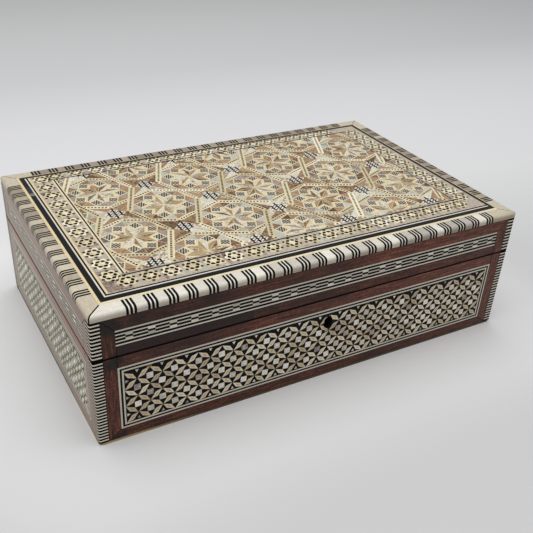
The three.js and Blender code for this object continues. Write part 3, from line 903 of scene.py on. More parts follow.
@dataclass
class Sheet:
    """One inlaid sheet: its rectangle on a side, and the tiles that cover it."""

    name: str
    node: str
    place: Place
    rect: Rect
    holes: list[Outline] = field(default_factory=list)
    tiles: list[Tile] = field(default_factory=list)

    def cover(self, finish: Finishes, rect: Rect | None = None,
              level: int = 0, tone: float = 0.5, turn: float = 0.0) -> None:
        """Lays one plain rectangle."""
        self.tiles.append(Tile(rectangle(*(rect or self.rect)), finish, level, tone, turn))

    def frame_lines(self, rect: Rect, widths: tuple[float, ...], finishes: tuple[Finishes, ...]) -> Rect:
        """Lays mitred lines round a rectangle, from outside inwards.

        Args:
            rect: the outer rectangle.
            widths: the lines' widths.
            finishes: the lines' finishes.

        Returns:
            The rectangle that is left inside the lines.
        """
        for width, finish in zip(widths, finishes):
            inner = rect[0] + width, rect[1] - width, rect[2] + width, rect[3] - width
            looks = ((0.6, 0.0), (0.6, 0.0), (0.5, math.pi / 2), (0.5, math.pi / 2))
            for outline, (tone, turn) in zip(mitred(rect, inner), looks):
                self.tiles.append(Tile(outline, finish, 1, tone, turn))
            rect = inner
        return rect

    def lay(self, tiles: list[Tile], rect: Rect | None = None) -> None:
        """Adds tiles, cut to a rectangle of the sheet."""
        for tile in tiles:
            outline = clipped(tile.outline, *(rect or self.rect))
            if len(outline) >= 3:
                self.tiles.append(replace(tile, outline=outline))

    def open_parts(self, outline: Outline) -> list[Outline]:
        """The parts of an outline outside the holes."""
        parts = [outline]
        for hole in self.holes:
            parts = [rest for part in parts for rest in without(part, hole)]
        return parts

    def build(self, body: str, slot: str) -> None:
        """Makes the sheet's one mesh and registers it."""
        builder = Builder(self.name)
        low, high = node_box(self.node)
        thickness = abs((high - low).dot(self.place.facing))
        for part in self.open_parts(rectangle(*self.rect)):
            builder.add_tile(Tile(part, Finishes.GLUE_AND_KEYHOLE_SHADE), self.place, thickness, GROUND_DEPTH)
        for tile in self.tiles:
            for part in self.open_parts(tile.outline):
                builder.add_tile(replace(tile, outline=part), self.place, INLAY_DEPTH, FLUSH)
        register(builder.made(), body, slot, self.node)


def middle_of(outline: Outline) -> Point:
    """The mean of an outline's corners."""
    return sum(x for x, _ in outline) / len(outline), sum(y for _, y in outline) / len(outline)


def hand_laid(tiles: list[Tile], degrees: float) -> list[Tile]:
    """Turns each tile a little about its own middle, as pieces laid by hand lie.

    Args:
        tiles: the tiles, turned in place.
        degrees: the most that one turns.

    Returns:
        The same tiles.
    """
    chance = random.Random(SEED)
    for tile in tiles:
        x, y = middle_of(tile.outline)
        about = [(px - x, py - y) for px, py in tile.outline]
        tile.outline = moved(about, (x, y), chance.uniform(-degrees, degrees))
    return tiles


def drawn_in(outline: Outline, by: float) -> Outline:
    """A convex outline drawn in on every edge, for a joint between pieces."""
    kept = outline if signed_area(outline) > 0 else outline[::-1]
    result = kept
    for a, b in zip(kept, kept[1:] + kept[:1]):
        length = math.hypot(b[0] - a[0], b[1] - a[1])
        if length < 1e-6:
            continue
        normal = ((b[1] - a[1]) / length, (a[0] - b[0]) / length)
        offset = a[0] * normal[0] + a[1] * normal[1] - by
        result = cut_by_line(result, normal, offset)
        if len(result) < 3:
            return []
    return result


@dataclass
class SideMosaic:
    """The lozenge-and-square mosaic of a body side, inside its cream, black and cream lines."""

    line_widths: Triple = (0.85, 1.05, 0.85)
    half_pitch: float = 6.36
    rows: int = 6
    edge_rise: float = 0.95
    start_share: float = 0.2
    wander: float = 0.12
    square: float = 3.35
    square_turn: float = 7.0
    grey_share: float = 0.2
    grey_tones: Point = (0.1, 0.2)
    white_tones: Point = (0.5, 0.45)
    lozenge_half: float = 3.85
    lozenge_width: float = 1.42
    lozenge_shoulder: float = 0.5
    lozenge_turn: float = 1.8
    heart_share: float = 0.4
    bleed_half: Point = (1.3, 1.1)
    bleed_share: float = 0.22
    tooth_long: float = 1.7
    tooth_half: float = 0.9
    tooth_inset: Point = (0.5, 0.8)
    chip_place: Point = (126.4, 30.3)
    chip: tuple[Point, ...] = ((-0.9, -0.5), (0.8, -0.6), (0.9, 0.3), (-0.5, 0.5))

    def squeezed(self, tiles: list[Tile], x0: float, x1: float, spare: float) -> list[Tile]:
        """Fits one more half step in by drawing the pattern's right half together.

        Args:
            tiles: the tiles as laid out at one even pitch.
            x0: where the pattern starts.
            x1: where it has to end.
            spare: how far past its end it was laid out.

        Returns:
            The same tiles, those past the middle moved and narrowed.
        """
        middle = (x0 + x1) / 2
        share = (x1 - middle) / (x1 + spare - middle)
        for tile in tiles:
            tile.outline = [(x if x < middle else middle + (x - middle) * share, y) for x, y in tile.outline]
        return tiles

    def lozenge(self, angle: float, share: float) -> Outline:
        """A lozenge about its middle, its long way at an angle in degrees, and its size a share."""
        half, wide, shoulder = self.lozenge_half * share, self.lozenge_width * share, self.lozenge_shoulder
        return moved([(half, 0), (shoulder, wide), (-half, 0), (-shoulder, -wide)], (0, 0), angle)

    def tooth(self, middle: Point, inner: Rect) -> Outline:
        """The small triangle that stands for a square cut off by the panel's edge.

        Args:
            middle: the square's middle.
            inner: the rectangle inside the panel's lines.

        Returns:
            The triangle on the nearest edge, or nothing where the square fits in whole.
        """
        x, y = middle
        x0, x1, y0, y1 = inner
        inset_x, inset_y = self.tooth_inset
        edges = ((y - y0, (x, y0 + inset_y), 90), (y1 - y, (x, y1 - inset_y), 270),
                 (x - x0, (x0 + inset_x, y), 0), (x1 - x, (x1 - inset_x, y), 180))
        away, foot, turned = min(edges, key=lambda edge: edge[0])
        outline = [(0.0, -self.tooth_half), (self.tooth_long, 0.0), (0.0, self.tooth_half)]
        return moved(outline, foot, turned) if away < self.square / 2 else []

    def build(self, side: Side, holes: list[Outline], rng: random.Random) -> None:
        """Builds one side's panel.

        Args:
            side: the side it lies on.
            holes: convex outlines that stay open.
            rng: the source of the tones.
        """
        node = f"body_{side.word}_panel"
        sheet = Sheet(f"{side.word}_mosaic", node, side.value, side.rect(node), holes)
        lines = (Finishes.BOXWOOD, Finishes.EBONY, Finishes.BOXWOOD)
        inner = sheet.frame_lines(sheet.rect, self.line_widths, lines)
        x0, x1, y0, y1 = inner
        sheet.cover(Finishes.EBONY, inner, tone=0.35)
        columns = round((x1 - x0) / self.half_pitch) + 1
        step_x = (x1 - x0) / (columns - 1)
        step_y = (y1 - y0 - self.edge_rise) / self.rows
        low = y0 - self.edge_rise * self.start_share
        wander = (self.wander, self.wander, 0.0)

        def laid(tile: Tile, parity: float, most_turn: float, tones: random.Random,
                 between: bool = False) -> list[Tile]:
            """Repeats a tile on every other crossing of the half steps, or between them."""
            count = (columns, self.rows) if between else (columns + 1, self.rows + 1)
            start = (x0 + step_x / 2, low + step_y / 2, 0) if between else (x0, low, 0)
            lattice = Lattice(*count, (step_x, 0, 0), (0, step_y, 0), start, parity, wander)
            return self.squeezed(hand_laid(lay_out([tile], lattice, tones), most_turn), x0, x1, step_x)

        wood, heart = Finishes.APRICOT, Finishes.APRICOT_HEART
        # The left side's lozenges take a paler copy that paints the milky reflection seen on that side
        if side is Side.LEFT:
            wood = heart = Finishes.APRICOT_PAINTED_SHEEN
        angle = math.degrees(math.atan2(step_y, step_x))
        for turned, parity in ((angle, 0.0), (-angle, 1.0)):
            for share, level, finish in ((1.0, 2, wood), (self.heart_share, 3, heart)):
                piece = Tile(self.lozenge(turned, share), finish, level, turn=math.radians(turned))
                sheet.lay(laid(piece, parity, self.lozenge_turn, random.Random(SEED), True), inner)
        wide, high = self.bleed_half
        bleed = Tile(rectangle(-wide, wide, -high, high), Finishes.STAIN, 1)
        for tile in laid(bleed, 0.0, 0.0, rng):
            if rng.random() < self.bleed_share:
                sheet.lay([tile], inner)
        half = self.square / 2
        square = Tile(rectangle(-half, half, -half, half), Finishes.BONE, 2)
        squares = laid(square, 1.0, self.square_turn, rng)
        for tile in squares:
            least, spread = self.grey_tones if rng.random() < self.grey_share else self.white_tones
            tile.tone = least + spread * rng.random()
            middle = middle_of(tile.outline)
            if holes and math.dist(middle, KEYHOLE_MIDDLE) < self.square:
                tile.outline = moved(list(self.chip), self.chip_place)
            else:
                tile.outline = self.tooth(middle, inner) or tile.outline
        sheet.lay(squares, inner)
        sheet.build("box", "side_mosaic")


@dataclass
class LidStrip:
    """The stringing strip round the lid: nine lines, the middle ones broken by short blocks."""

    block_length: float = 3.6
    block_period: float = 10.8
    first_block: float = 4.6
    block_wander: float = 0.15
    lines: int = 9
    black_grown: float = 0.15

    def build(self, side: Side, rng: random.Random) -> None:
        """Builds one side's strip."""
        node = f"lid_{side.word}_strip"
        x0, x1, low, high = side.rect(node)
        sheet = Sheet(f"{side.word}_stringing", node, side.value, (x0, x1, low, high))
        pitch = (high - low) / self.lines
        for line in range(self.lines):
            black = line % 2
            grown = pitch * self.black_grown * black
            rect = (x0, x1, low + pitch * line - grown, low + pitch * (line + 1) + grown)
            sheet.cover(Finishes.EBONY if black else Finishes.BOXWOOD, rect, black, 0.5 + 0.25 * rng.random())
        count = int((x1 - x0 - self.first_block - self.block_length) / self.block_period) + 1
        half = self.block_length / 2
        outer = pitch * (2.5 - self.black_grown)
        core = pitch * (0.5 + self.black_grown)
        parts = ((core, outer, Finishes.BOXWOOD), (-outer, -core, Finishes.BOXWOOD),
                 (-core, core, Finishes.EBONY))
        motif = [Tile(rectangle(-half, half, y0, y1), finish, 2) for y0, y1, finish in parts]
        start = (x0 + self.first_block + half, (low + high) / 2, 0)
        wander = (self.block_wander, 0, 0)
        lattice = Lattice(count, 1, (self.block_period, 0, 0), (0, 0, 0), start, wander=wander)
        sheet.lay(lay_out(motif, lattice, rng))
        sheet.build("lid", "stringing")


@dataclass
class Walls:
    """The wooden walls with their veneered stiles and rails."""

    pull_in: float = 0.4
    bedding: float = 0.1
    sunk: float = 0.04
    joint: float = 0.14
    edge_gap: float = 0.1
    seam: float = 0.22
    arris_gap: float = 0.3
    arris_height: float = 1.7
    dark_rail_end: float = 82.0

    def veneers(self, side: Side, low: float, high: float, panel: Rect, mitred_low: bool) -> list[Tile]:
        """The stiles and rails round a panel, mitred at one end and butted at the seam.

        Args:
            side: the side they lie on.
            low: the wall's lower edge.
            high: the wall's upper edge.
            panel: the let-in sheet's rectangle.
            mitred_low: whether the mitres are at the lower end.

        Returns:
            The veneer tiles.
        """
        x0 = CORNER_STRIP + self.edge_gap
        x1 = side.span - x0
        p0, p1, q0, q1 = panel
        if mitred_low:
            high -= self.seam
            left = [(x0, low), (p0, q0), (p0, high), (x0, high)]
            lower = [(x0, low), (x1, low), (p1, q0), (p0, q0)]
            right = [(p1, q0), (x1, low), (x1, high), (p1, high)]
            upper = rectangle(p0, p1, q1, high)
        else:
            low += self.seam
            left = [(x0, low), (p0, low), (p0, q1), (x0, high)]
            lower = rectangle(p0, p1, low, q0)
            right = [(p1, low), (x1, low), (x1, high), (p1, q1)]
            upper = [(p0, q1), (p1, q1), (x1, high), (x0, high)]
        plan = ((left, math.pi / 2, 0.45), (right, math.pi / 2, 0.5), (lower, 0.0, 0.4), (upper, 0.0, 0.6))
        return [Tile(drawn_in(outline, self.joint), Finishes.MAHOGANY, 0, tone, turn)
                for outline, turn, tone in plan]

    def build(self, side: Side, body: str) -> None:
        """Builds one wall of the body or of the lid."""
        node = node_name(body, f"{side.word}_board")
        panel = side.rect(node_name(body, f"{side.word}_panel" if body == "box" else f"{side.word}_strip"))
        low, high = node_box(node)
        facing = side.value.facing
        core = merged_copy(node)
        face = side.value.point(0, 0, 0).dot(facing)
        for vertex in core.verts:
            if abs(vertex.co.dot(facing) - face) < SAME_PLACE:
                vertex.co -= facing * self.pull_in * MM
        mesh = plain_mesh(core)
        builder = Builder(node_name(body, f"{side.word}_wall"))
        builder.add_mesh(mesh, Finishes.MAHOGANY, 0.45, 0.0, facing)
        hole = side.value.point(*KEYHOLE_MIDDLE, 0)
        # The core's outer face takes the dark glue colour of the joints; the keyhole's inner faces take it as
        # painted shade
        for number, polygon in enumerate(mesh.polygons):
            in_keyhole = side is Side.FRONT and (polygon.center - hole).length < KEYHOLE_REACH * MM
            if polygon.normal.dot(facing) > 0.99 or in_keyhole:
                builder.face_finish[number] = Finishes.GLUE_AND_KEYHOLE_SHADE
        bpy.data.meshes.remove(mesh)
        tiles = self.veneers(side, low.z, high.z, panel, body == "box")
        # The lighter strip under the seam on the body's left wall is a painted highlight on the rounded arris
        if side is Side.LEFT and body == "box":
            end = CORNER_STRIP + self.arris_gap
            arris = rectangle(end, side.span - end, high.z - self.arris_height, high.z - self.seam)
            tiles.append(Tile(arris, Finishes.ARRIS_HIGHLIGHT, 1))
        if side is Side.FRONT and body == "lid":
            dark = rectangle(panel[0], self.dark_rail_end, low.z + self.seam, panel[2])
            tiles.append(Tile(drawn_in(dark, self.joint), Finishes.DARK_VENEER, 1, 0.4))
        for tile in tiles:
            builder.add_tile(tile, side.value, self.pull_in + self.bedding, self.sunk, dark_edges=True)
        register(builder.made(), body, "mahogany", node)


@dataclass
class CornerEdgings:
    """Thin slabs of bone and black wood stacked up each rounded corner."""

    body_period: float = 1.85
    lid_period: float = 1.97
    black_share: float = 0.6
    smooth_degrees: float = 40

    def build(self, index: int, body: str) -> None:
        """Builds one corner's stack by cutting its solid into slabs."""
        node = node_name(body, f"corner_{index}")
        low, high = node_box(node)
        period = self.body_period if body == "box" else self.lid_period
        black = period * self.black_share
        count = round((high.z - low.z - black) / period)
        stretch = (high.z - low.z) / (period * count + black)
        black *= stretch
        bone = period * stretch - black
        builder = Builder(node_name(body, f"edging_{index}"))
        layers = ((0.0, black, count + 1, Finishes.EBONY_SLIP), (black, bone, count, Finishes.BONE_SLIP))
        for start, thick, slabs, finish in layers:
            slab = merged_copy(node)
            for vertex in slab.verts:
                top = vertex.co.z > (low.z + high.z) / 2 * MM
                vertex.co.z = (low.z + start + (thick if top else 0)) * MM
            lattice = Lattice(slabs, 1, (0, 0, (black + bone) * MM), (0, 0, 0), (0, 0, 0))
            stack = lattice.repeated(plain_mesh(slab), finish)
            builder.add_mesh(stack, finish)
            bpy.data.meshes.remove(stack)
        register(builder.made(self.smooth_degrees), body, "striped_edging", node)


@dataclass
class BoneEdge:
    """The rounded bone edging round the top: blocks of bone parted by three black bars.

    The lights are each side's mean tone at its start, and how much it grows to its end: a painted run of
    light and shade, lighter towards the front left.
    """

    bar: float = 1.25
    gap: float = 0.66
    period: float = 10.2
    end_block: float = 17.3
    end_tone: float = 0.7
    wander: float = 0.25
    solid_gap: float = 0.1
    mitre_glue_and_keyhole_shade: float = 0.3
    tight_mitre: float = 0.08
    white_spread: float = 0.48
    tan_spread: float = 0.25
    gap_lift: float = 0.25
    smooth_degrees: float = 35
    lights: dict[Side, Point] = field(default_factory=lambda: {
        Side.FRONT: (0.65, -0.35), Side.LEFT: (0.3, 0.45), Side.BACK: (0.15, 0.0), Side.RIGHT: (0.3, 0.0)})

    def add_cut(self, builder: Builder, whole: bmesh.types.BMesh, limits: list[tuple[Vector, Vector]],
                finish: Finishes, tone: float, grain: float) -> None:
        """Adds the part of the edging that lies within some planes.

        Args:
            builder: what gathers the parts.
            whole: the uncut edging.
            limits: a point on each plane and the direction from it into the part.
            finish: the part's finish.
            tone: the part's tone.
            grain: the turn of its grain.
        """
        part = whole.copy()
        for point, inward in limits:
            everything = part.verts[:] + part.edges[:] + part.faces[:]
            cut = bmesh.ops.bisect_plane(part, geom=everything, plane_co=point, plane_no=-inward,
                                         clear_outer=True)
            ring = [item for item in cut["geom_cut"] if isinstance(item, bmesh.types.BMEdge)]
            if ring:
                bmesh.ops.contextual_create(part, geom=ring)
        mesh = plain_mesh(part)
        builder.add_mesh(mesh, finish, tone, grain)
        bpy.data.meshes.remove(mesh)

    def cuts(self, span: float, rng: random.Random) -> list[tuple[float, float, bool]]:
        """Where each block and bar starts and ends along the side, and whether it is black."""
        group = 3 * self.bar + 2 * self.gap
        count = round((span - 2 * self.end_block - group) / self.period)
        period = (span - 2 * self.end_block - group) / count
        cuts = []
        here = 0.0
        for index in range(count + 1):
            start = self.end_block + period * index + rng.uniform(-self.wander, self.wander)
            cuts.append((here, start, False))
            here = start
            for step in range(5):
                width = self.bar if step % 2 == 0 else self.gap
                cuts.append((here, here + width, step % 2 == 0))
                here += width
        cuts.append((here, span, False))
        return cuts

    def build(self, side: Side, rng: random.Random) -> None:
        """Builds one side's edging by cutting its solid crosswise."""
        node = f"bone_edge_{side.word}"
        whole = merged_copy(node)
        builder = Builder(f"{side.word}_bone_edging")
        along = side.value.along
        origin = side.value.point(0, 0, 0)
        bone, spread = Finishes.BONE_TAN, self.tan_spread
        if side is Side.FRONT:
            bone, spread = Finishes.BONE_WHITE, self.white_spread
        grain = math.pi / 2 if side in (Side.LEFT, Side.RIGHT) else 0.0
        mitres = []
        for corner, sign in ((origin, 1), (origin + along * side.span * MM, -1)):
            inward = (along * sign + side.value.facing).normalized()
            glue = self.mitre_glue_and_keyhole_shade if corner.x < 0 and corner.y < 0 else self.tight_mitre
            mitres.append((corner + inward * (glue + self.solid_gap * math.sqrt(2) / 2) * MM, inward))
        for start, end, black in self.cuts(side.span, rng):
            # Painted light and shade: each block's tone runs lighter towards the front left
            light = self.lights[side][0] + self.lights[side][1] * ((start + end) / 2 / side.span)
            wide = end - start > self.bar * 2
            tone = light + rng.uniform(-spread, spread) if wide else light + self.gap_lift
            limits = [(origin + along * start * MM, along), (origin + along * end * MM, -along)]
            for at_end, (point, inward) in ((start == 0, mitres[0]), (end == side.span, mitres[1])):
                if at_end:
                    tone = self.end_tone
                    limits.append((point, inward))
                    self.add_cut(builder, whole, [(point, -inward)], Finishes.GLUE_AND_KEYHOLE_SHADE, 0.5, 0.0)
            kept = Finishes.BONE_TAN if end == side.span else bone
            finish, tone = (Finishes.EBONY_INLAY, 0.3) if black else (kept, tone)
            self.add_cut(builder, whole, limits, finish, tone, grain)
        whole.free()
        register(builder.made(self.smooth_degrees), "lid", "bone", node)


@dataclass(frozen=True)
class Row:
    """A row of rosettes: its first middle, its step, how many, how they tighten, and their squash."""

    start: Point
    step: Point
    count: int
    drift: float = 0.0
    squash: Point = (1.0, 1.0)


@dataclass
class RosetteBorder:
    """The rosettes of the border round the field, and the split ground pieces between them."""

    side: float = 1.75
    black_half: float = 1.45
    black_thick: float = 0.88
    black_blunt: float = 0.3
    spoke: Triple = (3.7, 4.4, 5.5)
    spoke_half: float = 1.05
    disc: float = 4.5
    tip: float = 5.3
    wander: float = 0.2
    ground_reach: float = 7.0
    ground_share: float = 0.55
    pearl_share: float = 0.12

    def rosette(self) -> list[Tile]:
        """One rosette about its middle: a pale disc of petals, with black lozenges round a star in it."""
        rim = []
        for angle in range(0, 360, 60):
            rim += [polar(self.tip, angle), polar(self.disc, angle + 20), polar(self.disc, angle + 40)]
        tiles = [Tile(rim, Finishes.HOLLY, 3, 0.6)]
        middle, blunt, thick = 1.5 * self.side, self.black_half * self.black_blunt, self.black_thick
        black = [(middle + thick, -blunt), (middle + thick, blunt), (middle, self.black_half),
                 (middle - thick, blunt), (middle - thick, -blunt), (middle, -self.black_half)]
        near, widest, far = self.spoke
        spoke = [(near, 0), (widest, -self.spoke_half), (far, 0), (widest, self.spoke_half)]
        for angle in range(0, 360, 60):
            arm = [(0, 0), polar(self.side, angle), polar(self.side * math.sqrt(3), angle + 30),
                   polar(self.side, angle + 60)]
            tiles.append(Tile(arm, Finishes.HOLLY, 4, turn=math.radians(angle + 30)))
            tiles.append(Tile(moved(black, (0, 0), angle), Finishes.EBONY_INLAY, 4))
            tiles.append(Tile(moved(spoke, (0, 0), angle + 30), Finishes.EBONY_INLAY, 4))
        return tiles

    def lay_row(self, sheet: Sheet, row: Row, rng: random.Random) -> None:
        """Lays a row of rosettes with split ground pieces between them.

        Args:
            sheet: the sheet that gets the tiles.
            row: where the rosettes go.
            rng: the source of the tones and of the ground's pieces.
        """
        start, step, drift = row.start, row.step, row.drift
        wander = (self.wander, self.wander, 0)
        lattice = Lattice(row.count, 1, (*step, 0), (0, 0, 0), (*start, 0), wander=wander)
        motif = self.rosette()
        for tile in motif:
            tile.outline = [(x * row.squash[0], y * row.squash[1]) for x, y in tile.outline]
        tiles = lay_out(motif, lattice, rng)
        for tile in tiles:
            number = round((middle_of(tile.outline)[0] - start[0]) / step[0]) if drift else 0
            tile.outline = moved(tile.outline, (-drift * number * number, 0))
        sheet.lay(tiles)
        way = 0 if step[0] else 1
        for index in range(way, row.count + 1 - 2 * way):
            here = index - 0.5
            middle = (start[0] + step[0] * here - drift * here ** 2, start[1] + step[1] * here)
            cell = [-LENGTH, 2 * LENGTH, -LENGTH, 2 * LENGTH]
            cell[2 * way:2 * way + 2] = middle[way] - step[way] / 2, middle[way] + step[way] / 2
            for turned in (45, 135, 225, 315):
                if rng.random() >= self.ground_share:
                    continue
                pearly = rng.random() < self.pearl_share
                finish = Finishes.PEARL if pearly else rng.choice((Finishes.MAUVE, Finishes.SHELL_GREY))
                wedge = [(0, 0), polar(self.ground_reach, -38), polar(self.ground_reach, 38)]
                outline = clipped(moved(wedge, middle, turned), *cell)
                if outline:
                    sheet.lay([Tile(outline, finish, 1, rng.random())])


@dataclass
class StarField:
    """The top's field: stars in octagons, with knots between them, cut off by the frame.

    Each band is given by its angle, its width, which crossings it goes through and its layer.
    """

    step: float = 28.2
    first: Point = (15.8, 15.8)
    bands: tuple[tuple[float, float, float, int], ...] = (
        (157.5, 2.9, 1.0, 3), (112.5, 2.45, 1.0, 5), (22.5, 2.45, 0.0, 3), (67.5, 3.5, 0.0, 5))
    band_gap: float = 0.35
    dot: float = 1.12
    dot_pitch: float = 1.88
    petal_side: float = 7.1
    petal_cut: float = 0.4
    petal_joint: float = 0.13
    kite_cut: float = 1.2
    kite_reach: float = 16.5
    kite_joint: float = 0.1
    square: float = 5.7
    square_radius: float = 12.5
    square_edge: float = 0.6
    weave: int = 5
    block_share: float = 0.86
    knot_cell: float = 1.06
    knot_reach: int = 5
    knot_bar_every: int = 3
    knot_dot_half: float = 0.45
    knot_joint: float = 0.07
    brown_from: float = 0.3
    brown_share: float = 0.75
    back_darkening: float = 0.35

    @property
    def reach(self) -> float:
        """The octagon's radius, from its middle to a corner."""
        return self.step / math.sqrt(2)

    def star(self, rng: random.Random) -> list[Tile]:
        """One star about its middle: split petals, woven squares and the kites outside them."""
        lights = (Finishes.PEARL, Finishes.PEARL, Finishes.OLIVE, Finishes.PEARL)
        darks = (Finishes.ROSEWOOD, Finishes.OLIVE, Finishes.MAUVE, Finishes.PEARL, Finishes.PEARL)
        outside = (Finishes.ROSEWOOD, Finishes.MAUVE, Finishes.ROSEWOOD, Finishes.SHELL_GREY)
        tip = 2 * self.petal_side * math.cos(math.radians(22.5)) - self.petal_cut
        tiles = [Tile([polar(self.reach, 45 * k) for k in range(8)], Finishes.HOLLY, 0, 0.4)]
        for angle in range(0, 360, 45):
            grain = math.radians(angle)
            for sign, finish in ((1, rng.choice(lights)), (-1, rng.choice(darks))):
                half = [(0, 0), polar(self.petal_side, angle + 22.5 * sign), polar(tip, angle)]
                tiles.append(Tile(drawn_in(half, self.petal_joint), finish, 1, rng.random(), grain))
            for sign in (1, -1):
                finish = rng.choice(outside)
                kite = [polar(tip, angle), polar(self.reach - self.kite_cut, angle),
                        polar(self.kite_reach, angle + 22.5 * sign),
                        polar(self.square_radius, angle + 15 * sign)]
                tiles.append(Tile(drawn_in(kite, self.kite_joint), finish, 1, rng.random(), grain))
            tiles += self.woven_square(angle + 22.5, rng)
        return tiles

    def browned(self, tile: Tile, middle: Point, rng: random.Random) -> Tile:
        """The tile at its star's middle; towards the back right, pearl gives way to brown woods and the holly
        is darker.

        Args:
            tile: a tile about the origin.
            middle: where its star or knot is.
            rng: the draws that pick which pieces are brown.

        Returns:
            The tile in its place, with its finish.
        """
        away = max(0.0, (middle[0] / LENGTH + 2 * middle[1] / DEPTH) / 3 - self.brown_from)
        finish, tone = tile.finish, tile.tone
        if finish in (Finishes.PEARL, Finishes.SHELL_GREY) and rng.random() < self.brown_share * away:
            finish = rng.choice((Finishes.OLIVE, Finishes.ROSEWOOD))
        if finish is Finishes.HOLLY:
            tone = max(0.0, tone - self.back_darkening * away)
        return replace(tile, outline=moved(tile.outline, middle), finish=finish, tone=tone)

    def woven_square(self, angle: float, rng: random.Random) -> list[Tile]:
        """A small cream-edged square with a chequered black-and-white middle."""
        middle = polar(self.square_radius, angle)

        def upright(x: float, y: float, half: float) -> Outline:
            """A square within the turned one."""
            return moved(rectangle(x - half, x + half, y - half, y + half), middle, angle + 45)

        inner = self.square / 2 - self.square_edge
        tiles = [Tile(upright(0, 0, self.square / 2), Finishes.HOLLY, 2, 0.6),
                 Tile(upright(0, 0, inner), Finishes.EBONY_INLAY, 3)]
        cell = 2 * inner / self.weave
        for i in range(self.weave):
            for j in range(self.weave):
                if (i + j) % 2 == 1:
                    x, y = (i + 0.5) * cell - inner, (j + 0.5) * cell - inner
                    block = upright(x, y, cell * self.block_share / 2)
                    tiles.append(Tile(block, Finishes.BOXWOOD, 4, 0.3 + 0.4 * rng.random()))
        return tiles

    def knot(self, rng: random.Random) -> list[Tile]:
        """One knot about its middle: a woven diamond in a four-pointed star of kites."""
        woods = (Finishes.PEARL, Finishes.PEARL, Finishes.ROSEWOOD, Finishes.OLIVE)
        waist = self.step - self.reach
        tiles = []
        for angle in (45, 135, 225, 315):
            for corner in (polar(waist, angle - 45), polar(waist, angle + 45)):
                finish = rng.choice(woods)
                half = drawn_in([(0, 0), corner, polar(self.reach, angle)], self.knot_joint)
                tiles.append(Tile(half, finish, 0, rng.random(), math.radians(angle)))
        cell, reach, dot = self.knot_cell, self.knot_reach, self.knot_dot_half
        for i in range(-reach, reach + 1):
            length = reach - abs(i) + 0.5
            bar = i % self.knot_bar_every == 0
            outline = rectangle((i - 0.5) * cell, (i + 0.5) * cell, -length * cell, length * cell)
            finish, tone = (Finishes.EBONY_INLAY, 0.3) if bar else (Finishes.BONE, 0.9)
            tiles.append(Tile(outline, finish, 1, tone))
            for j in range(-reach, reach + 1):
                if not bar and (i + j) % 2 == 0 and abs(i) + abs(j) <= reach:
                    block = rectangle((i - dot) * cell, (i + dot) * cell, (j - dot) * cell, (j + dot) * cell)
                    tiles.append(Tile(block, Finishes.EBONY_INLAY, 2, 0.4))
        return tiles

    def band(self, angle: float, width: float, level: int) -> list[Tile]:
        """One straight band through a crossing: a pale strip with a row of black dots."""
        half = self.reach * math.sin(math.radians(22.5)) * 2 - self.band_gap
        strip = moved(rectangle(-half, half, -width / 2, width / 2), (0, 0), angle)
        tiles = [Tile(strip, Finishes.HOLLY, level, 0.6, math.radians(angle))]
        count = int(2 * half / self.dot_pitch)
        for index in range(count):
            x = (index - (count - 1) / 2) * self.dot_pitch
            dot = rectangle(x - self.dot / 2, x + self.dot / 2, -self.dot / 2, self.dot / 2)
            tiles.append(Tile(moved(dot, (0, 0), angle), Finishes.EBONY_INLAY, level + 1, 0.4))
        return tiles

    def build(self, rng: random.Random) -> None:
        """Builds the field's sheet."""
        sheet = Sheet("star_field", "top_field", TOP, top_rect(*node_box("top_field")))
        columns = int(LENGTH / self.step) + 2
        rows = int(DEPTH / self.step) + 2
        brown_rng = random.Random(SEED)
        for i in range(columns):
            for j in range(rows):
                middle = (self.first[0] + self.step * i, DEPTH - self.first[1] - self.step * j)
                tiles = self.star(rng) if (i + j) % 2 == 0 else self.knot(rng)
                sheet.lay([self.browned(tile, middle, brown_rng) for tile in tiles])
        start = (self.first[0] + self.step / 2, DEPTH - self.first[1] - self.step / 2, 0)
        for angle, width, parity, level in self.bands:
            crossings = Lattice(columns, rows, (self.step, 0, 0), (0, -self.step, 0), start, parity)
            sheet.lay(lay_out(self.band(angle, width, level), crossings, rng))
        sheet.build("lid", "star_marquetry")


